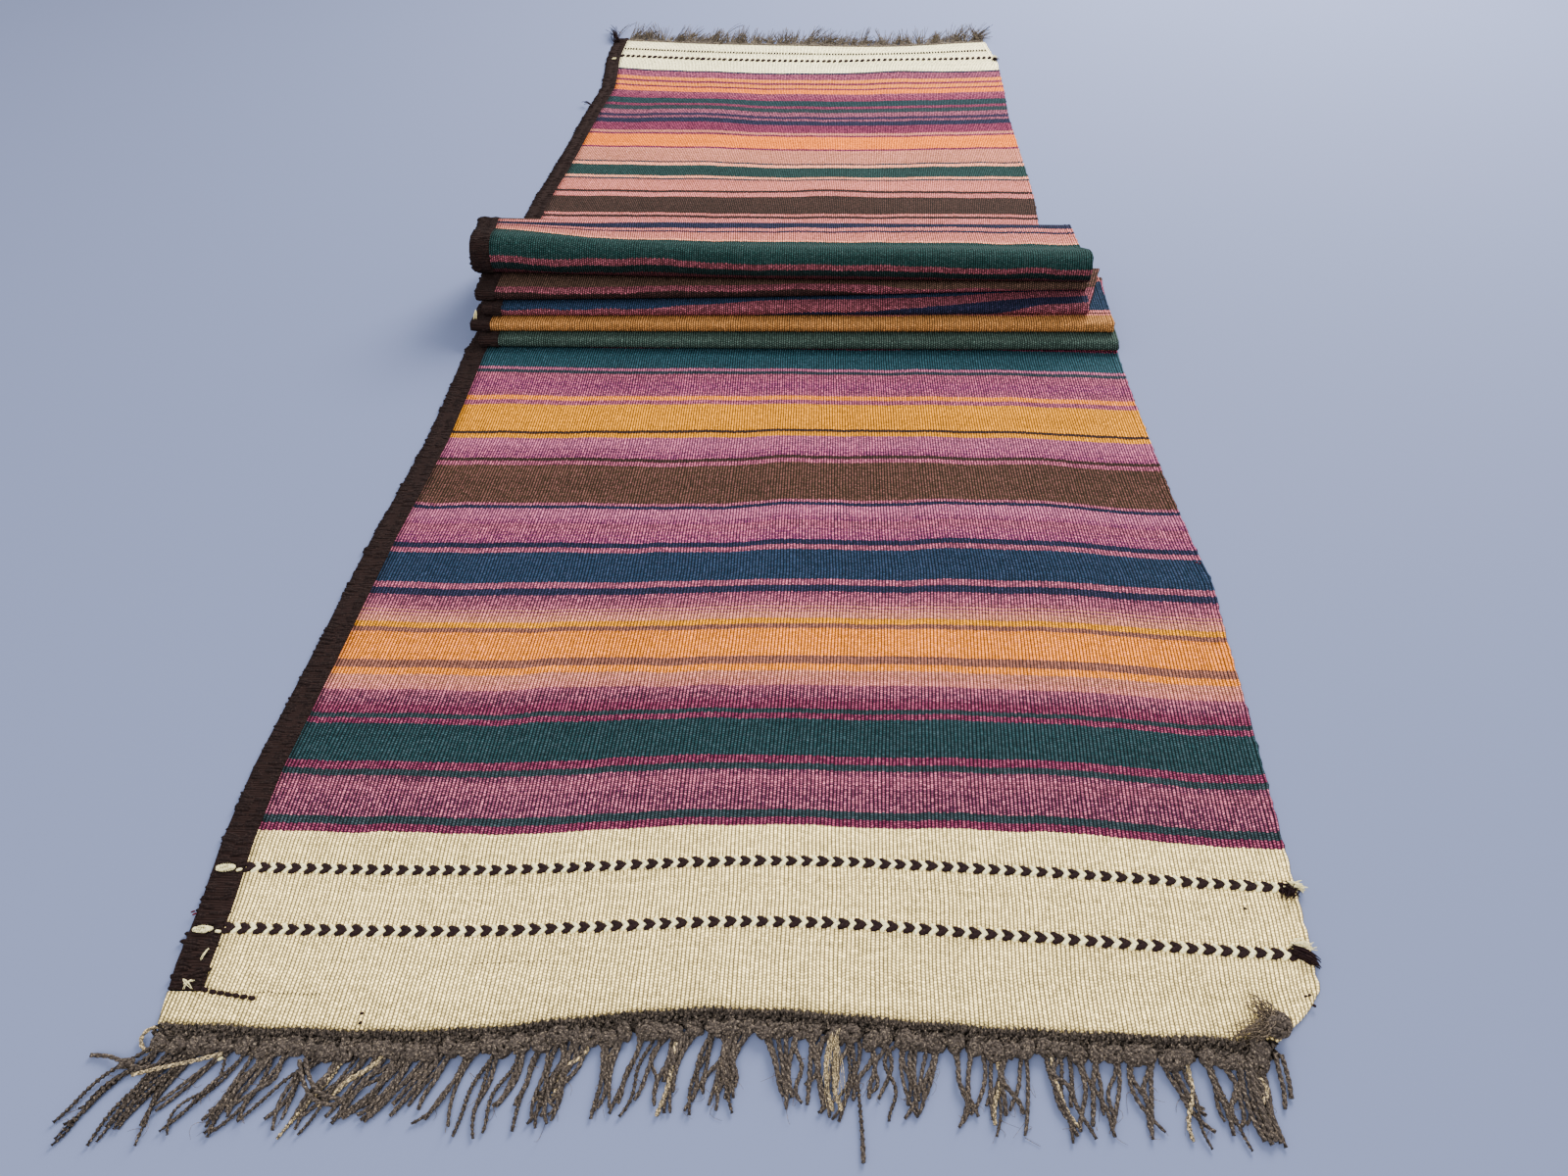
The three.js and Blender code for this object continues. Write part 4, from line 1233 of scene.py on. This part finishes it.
# Loose ends at the near fringe: a few strands that lie apart from the others, a knotted one at the
# left corner, a curled pair, a very long one and a thick bunch at the right.
LOOSE_POINTS = 30
LOOSE_YARNS = [
    ("long_strand", "grey", 1.6, [(77, -2, 4), (82, -28, 3), (85, -60, 2.2), (86, -82, 2)]),
    (
        "side_strand",
        "grey",
        1.5,
        [(-390, -30, 5), (-406, -37, 3), (-420, -35, 5), (-435, -30, 3), (-449, -29, 2)],
    ),
    (
        "corner_loop",
        "pale",
        1.3,
        [(-405, -8, 5), (-415, -11, 5), (-418, -18, 3), (-411, -25, 2), (-406, -18, 2.5)],
    ),
    ("pale_thread", "pale", 1.3, [(-411, -44, 7), (-393, -39, 8), (-370, -33, 8.5), (-355, -27, 7)]),
    ("curled_1", "grey", 1.5, [(-300, -30, 7), (-291, -46, 7), (-280, -56, 5), (-266, -58, 3)]),
    ("curled_2", "grey", 1.5, [(-296, -29, 7), (-287, -44, 8), (-277, -52, 6), (-264, -54, 3)]),
    ("pale_strand", "pale", 1.4, [(-43, -8, 5), (-44, -24, 4), (-46, -40, 3), (-51, -57, 2)]),
    ("bright_1", "pale", 1.4, [(64, 0, 6), (61, -18, 6), (62, -36, 4), (66, -50, 3)]),
    ("bright_2", "pale", 1.4, [(69, 0, 6), (67, -18, 6), (67, -36, 4), (72, -50, 3)]),
    ("bunch_1", "grey", 1.6, [(346, -10, 6), (344, -26, 6), (345, -44, 4), (350, -62, 3)]),
    ("bunch_2", "grey", 1.6, [(350, -8, 6), (349, -26, 5), (350, -44, 4), (353, -60, 3)]),
    ("bunch_3", "grey", 1.6, [(342, -10, 5), (340, -26, 5), (341, -44, 4), (346, -60, 3)]),
    ("bunch_4", "grey", 1.6, [(348, -8, 8), (346, -26, 8), (348, -44, 6), (351, -58, 4)]),
    ("last_1", "grey", 1.5, [(367, -3, 6), (367, -14, 4), (367, -26, 3), (365, -38, 2)]),
    ("last_2", "grey", 1.5, [(371, -3, 6), (372, -12, 4), (372, -22, 3), (371, -31, 2)]),
]
for tone, material in [("grey", fringe_yarn), ("pale", pale_yarn)]:
    chosen = [yarn for yarn in LOOSE_YARNS if yarn[1] == tone]
    paths = np.stack([smooth_path(points, LOOSE_POINTS) for _, _, _, points in chosen])
    paths[:, :, 1] -= MIDDLE_Y
    radius = np.array([[thick] for _, _, thick, _ in chosen]) * np.ones((1, LOOSE_POINTS))
    loose = yarns(f"loose_{tone}_yarns", paths, radius)
    dress(loose, material)

side_knot = random_loops(np.array([[-420.0, -35.0 - MIDDLE_Y, 4.6]]), (4.6, 4.0, 2.6), 6, 20)
side_knot[:, :, 2] = np.maximum(side_knot[:, :, 2], 1.6)
side_knot_yarns = yarns("side_knot", side_knot, np.full(side_knot.shape[:2], 1.6), turn=6.0)
dress(side_knot_yarns, fringe_yarn)
pale_hairs = hair_bunch(
    [(68, 4, 8), (66, 0, 8)],
    [(64, -40, 3), (72, -46, 3), (80, -38, 3)],
    (1.5, 5.0), 3.0, 16,
)
hair_object("pale_hairs", pale_hairs, 0.35, pale_yarn)
STRAY_HAIRS = 260
tip_of = chance.integers(0, len(strand_paths), STRAY_HAIRS)
tip_at = chance.integers(STRAND_POINTS // 3, STRAND_POINTS, STRAY_HAIRS)
tip = strand_paths[tip_of, tip_at] + [0.0, MIDDLE_Y, 0.5]
stray = hair_bunch(tip, tip + np.array([0.0, -5.0, 0.5]), (0.6, 4.5), 1.0, STRAY_HAIRS, points=5)
hair_object("stray_hairs", stray, 0.22, brown_hair)

# The yarn tails of the twined lines: white loops caught on the binding at the left, and cut tufts of
# brown and white wool on the selvedge at the right.
LEFT_TAILS = [
    ("left_tail_1", "tail_near_left_1", (-409.0, 68.0), (7.0, 2.8, 1.3)),
    ("left_tail_2", "tail_near_left_2", (-413.0, 122.0), (6.5, 2.8, 1.3)),
    ("far_left_tail", "tail_far_left", (-383.0, 1989.0), (4.0, 3.0, 1.3)),
]
RIGHT_TUFTS = [
    {
        "name": "right_tail_1",
        "node": "tail_near_right_1",
        "starts": [(403, 77, 4), (402, 80, 4), (401, 75, 4)],
        "ends": [(417, 66, 4), (418, 71, 4), (413, 67, 3)],
        "spread": (1.1, 1.4),
        "lift": 2.5,
        "hairs": 46,
        "thick": 0.7,
    },
    {
        "name": "right_tail_2",
        "node": "tail_near_right_2",
        "starts": [(408, 131, 5), (410, 128, 5), (412, 125, 4)],
        "ends": [(416, 124, 5), (409, 122, 4), (417, 129, 5)],
        "spread": (1.7, 2.2),
        "lift": 3.5,
        "hairs": 56,
        "thick": 0.6,
    },
    {
        "name": "far_right_tail",
        "node": "tail_far_right",
        "starts": [(360, 1989, 4), (361, 1986, 4)],
        "ends": [(367, 1984, 4), (366, 1990, 4)],
        "spread": (1.0, 1.6),
        "lift": 1.5,
        "hairs": 26,
        "thick": 0.8,
    },
]
for name, node, (tail_x, tail_along), tail_size in LEFT_TAILS:
    paths = random_loops(np.array([[tail_x, tail_along - MIDDLE_Y, 5.6]]), tail_size, 4, 24)
    paths[:, :, 2] = np.maximum(paths[:, :, 2], 4.9)
    tail = yarns(name, paths, np.full(paths.shape[:2], 1.0), turn=5.0, sides=6)
    dress(tail, white_yarn)
    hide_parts(node)
for tuft in RIGHT_TUFTS:
    paths = hair_bunch(tuft["starts"], tuft["ends"], tuft["spread"], tuft["lift"], tuft["hairs"])
    tail = hair_object(tuft["name"], paths, tuft["thick"], dark_yarn)
    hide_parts(tuft["node"])
white_tufts = hair_bunch(
    [(402, 82, 4), (412, 132, 5), (360, 1992, 4)],
    [(415, 80, 4), (423, 130, 4), (366, 1996, 4)],
    (1.6, 2.2), 1.5, 110,
)
hair_object("white_tufts", white_tufts, 0.55, white_yarn)

# Stitches and specks: a basting stitch of dark wool where the binding starts, short dark and red
# threads caught in the cloth, fine dark wefts that show in the cream, white threads on the
# binding, and the stub of a dark one.
red_thread = yarn_material("red_thread", (96, 24, 34), (140, 36, 48), (170, 70, 80), 0.1)
SPECK_YARNS = {"dark": dark_yarn, "white": white_yarn, "red": red_thread}
dark_specks = [(-269, 7), (-268, 0), (376, 112), (401, 42), (404, 43), (405, 35), (363, 1983)]
stitches = [(-394 + 6 * k, 21.0 - 0.75 * k) for k in range(8)]
left_wefts = [(-365 + 2.9 * k, 20.5 + 0.4 * np.sin(k)) for k in range(22)]
middle_wefts = [(-227 + 4.3 * k, 45 + 0.4 * k + 0.4 * np.sin(k)) for k in range(20)]
SPECKS = [
    ("specks", "dark", dark_specks, 1.5, 1.0, 0.2),
    ("stitch_line", "dark", stitches, 3.0, 1.9, -0.15),
    ("fine_wefts", "dark", left_wefts, 0.7, 0.35, 0.0),
    ("fine_wefts_2", "dark", middle_wefts, 0.7, 0.35, 0.1),
    ("red_bits", "red", [(-423, 83), (-421, 81), (427, 509), (430, 508)], 1.9, 0.7, 0.6),
    ("white_bits", "white", [(-397, 67), (-402, 121), (-357, -29)], 2.6, 1.2, 0.4),
]
for name, tone, places, long, wide, slant in SPECKS:
    x, along_at = np.array(places, float).T
    lift = np.where(x < -385, 2.0, 0.4) + swell_height(x, along_at)
    middle = np.stack([x, along_at - MIDDLE_Y, CLOTH_THICK + lift], axis=-1)
    angle = (slant + chance.normal(0.0, 0.25, len(x)))[:, None]
    side = np.tile([1.0, 0.0, 0.0], (len(x), 1))
    ahead_way = np.tile([0.0, 1.0, 0.0], (len(x), 1))
    row = pods(
        name,
        middle * MM,
        (side * np.cos(angle) + ahead_way * np.sin(angle)) * long * MM,
        (ahead_way * np.cos(angle) - side * np.sin(angle)) * wide * MM,
        np.tile([0.0, 0.0, 1.0], (len(x), 1)) * wide * MM,
        cuts=2,
        square=0.85,
    )
    dress(row, SPECK_YARNS[tone])

threads = hair_bunch(
    [(-398, 52, 6), (-406, 27, 6), (-400, 27, 6), (-404, 24, 6)],
    [(-400, 43, 6), (-396, 21, 6), (-402, 20, 6), (-397, 26, 6)],
    (0.3, 0.8), 0.8, 10,
)
hair_object("white_threads", threads, 0.4, white_yarn)
fold_thread = hair_bunch([(-399, 929, 43)], [(-403, 926, 29)], (0.5, 1.5), 1.0, 6)
hair_object("fold_thread", fold_thread, 0.5, white_yarn)
stub = hair_bunch([(-384, 1734, 5)], [(-403, 1753, 5)], (0.4, 1.2), 4.0, 5)
hair_object("thread_stub", stub, 0.9, dark_yarn)

# The far fringe: a thin heading, with short locks of untwisted warp wool that have come loose.
FAR_HEADING = {"left": -372.0, "right": 350.0}
LOCKS = 84
HAIRS = 18
HAIR_POINTS = 8

far_yarn = yarn_material("hairy_grey_brown_wool", (98, 84, 78), (146, 130, 120), (200, 186, 170), 0.15)
far_x = np.linspace(FAR_HEADING["left"], FAR_HEADING["right"], 240)
far_section = np.array([[0.5, 0], [0.5, 3], [3, 4.6], [6, 4.4], [9, 1.8], [9, 0]])
far_lump = 1 + 0.22 * np.sin(far_x / 3.1)[:, None] * np.cos(far_x / 7.7)[:, None]
far_y = cloth_edge(FAR_OUTLINE[-1], far_x)[:, None] + far_section[:, 0] * far_lump
far_z = far_section[:, 1] * far_lump
far_points = np.stack(np.broadcast_arrays(far_x[:, None], far_y - MIDDLE_Y, far_z), axis=-1) * MM
far_faces = ring_faces(len(far_x), len(far_section))[:, ::-1]
far_heading = new_object("far_heading", far_points.reshape(-1, 3), far_faces)
dress(far_heading, far_yarn)
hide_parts("far_fringe")

hairs = LOCKS * HAIRS
lock_of = np.repeat(np.arange(LOCKS), HAIRS)
lock_x = np.linspace(FAR_HEADING["left"] + 4, FAR_HEADING["right"] - 4, LOCKS) + chance.normal(0, 3.5, LOCKS)
lock_curl = chance.normal(0.3, 0.5, LOCKS)
lock_long = chance.uniform(16, 36, LOCKS) + 20 * chance.uniform(0, 1, LOCKS) ** 3
lock_lift = chance.uniform(6, 30, LOCKS)
t = np.linspace(0, 1, HAIR_POINTS)[None, :]
hair_x = lock_x[lock_of] + chance.normal(0.0, 2.6, hairs)
hair_long = lock_long[lock_of] * chance.uniform(0.6, 1.05, hairs)
hair_lean = chance.normal(0.0, 0.28, hairs) + lock_curl[lock_of] * 0.3
hair_bend = lock_curl[lock_of] + chance.normal(0.0, 0.25, hairs)
angle_along = hair_lean[:, None] + hair_bend[:, None] * t
step = hair_long[:, None] / (HAIR_POINTS - 1)
hair_root_y = cloth_edge(FAR_OUTLINE[-1], hair_x)[:, None] + 4
hair_px = hair_x[:, None] + np.cumsum(np.sin(angle_along) * step, axis=1)
hair_py = hair_root_y + np.cumsum(np.cos(angle_along) * step, axis=1)
hair_lift = lock_lift[lock_of] * chance.uniform(0.2, 1.1, hairs)
hair_pz = 3.2 + hair_lift[:, None] * t**1.4 - 1.6 * t
hair_px += (lock_x[lock_of] - hair_x)[:, None] * 0.7 * t
hair_paths = np.stack([hair_px, hair_py - MIDDLE_Y, hair_pz], axis=-1)
hair_thick = chance.uniform(0.6, 1.15, hairs)[:, None] * (1 - 0.6 * t)
far_locks = yarns("far_fringe_locks", hair_paths, hair_thick, turn=30.0, sides=4, lobe=0.1)
dress(far_locks, far_yarn)

corner_tuft = hair_bunch(
    [(-394, 2092, 6), (-388, 2090, 6)],
    [(-402, 2135, 9), (-415, 2165, 7), (-376, 2120, 6)],
    (2.0, 6.0), 6.0, 30,
)
hair_object("far_corner_tuft", corner_tuft, 0.95, dark_yarn)
long_hairs = hair_bunch(
    [(-179, 2080, 6), (-395, 2100, 6)],
    [(-136, 2170, 9), (-372, 2190, 8)],
    (2.0, 4.0), 6.0, 8,
)
hair_object("far_long_hairs", long_hairs, 0.8, far_yarn)

size = {"cad": [list(corner) for corner in cad_box], "visual": [list(corner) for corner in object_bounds()]}
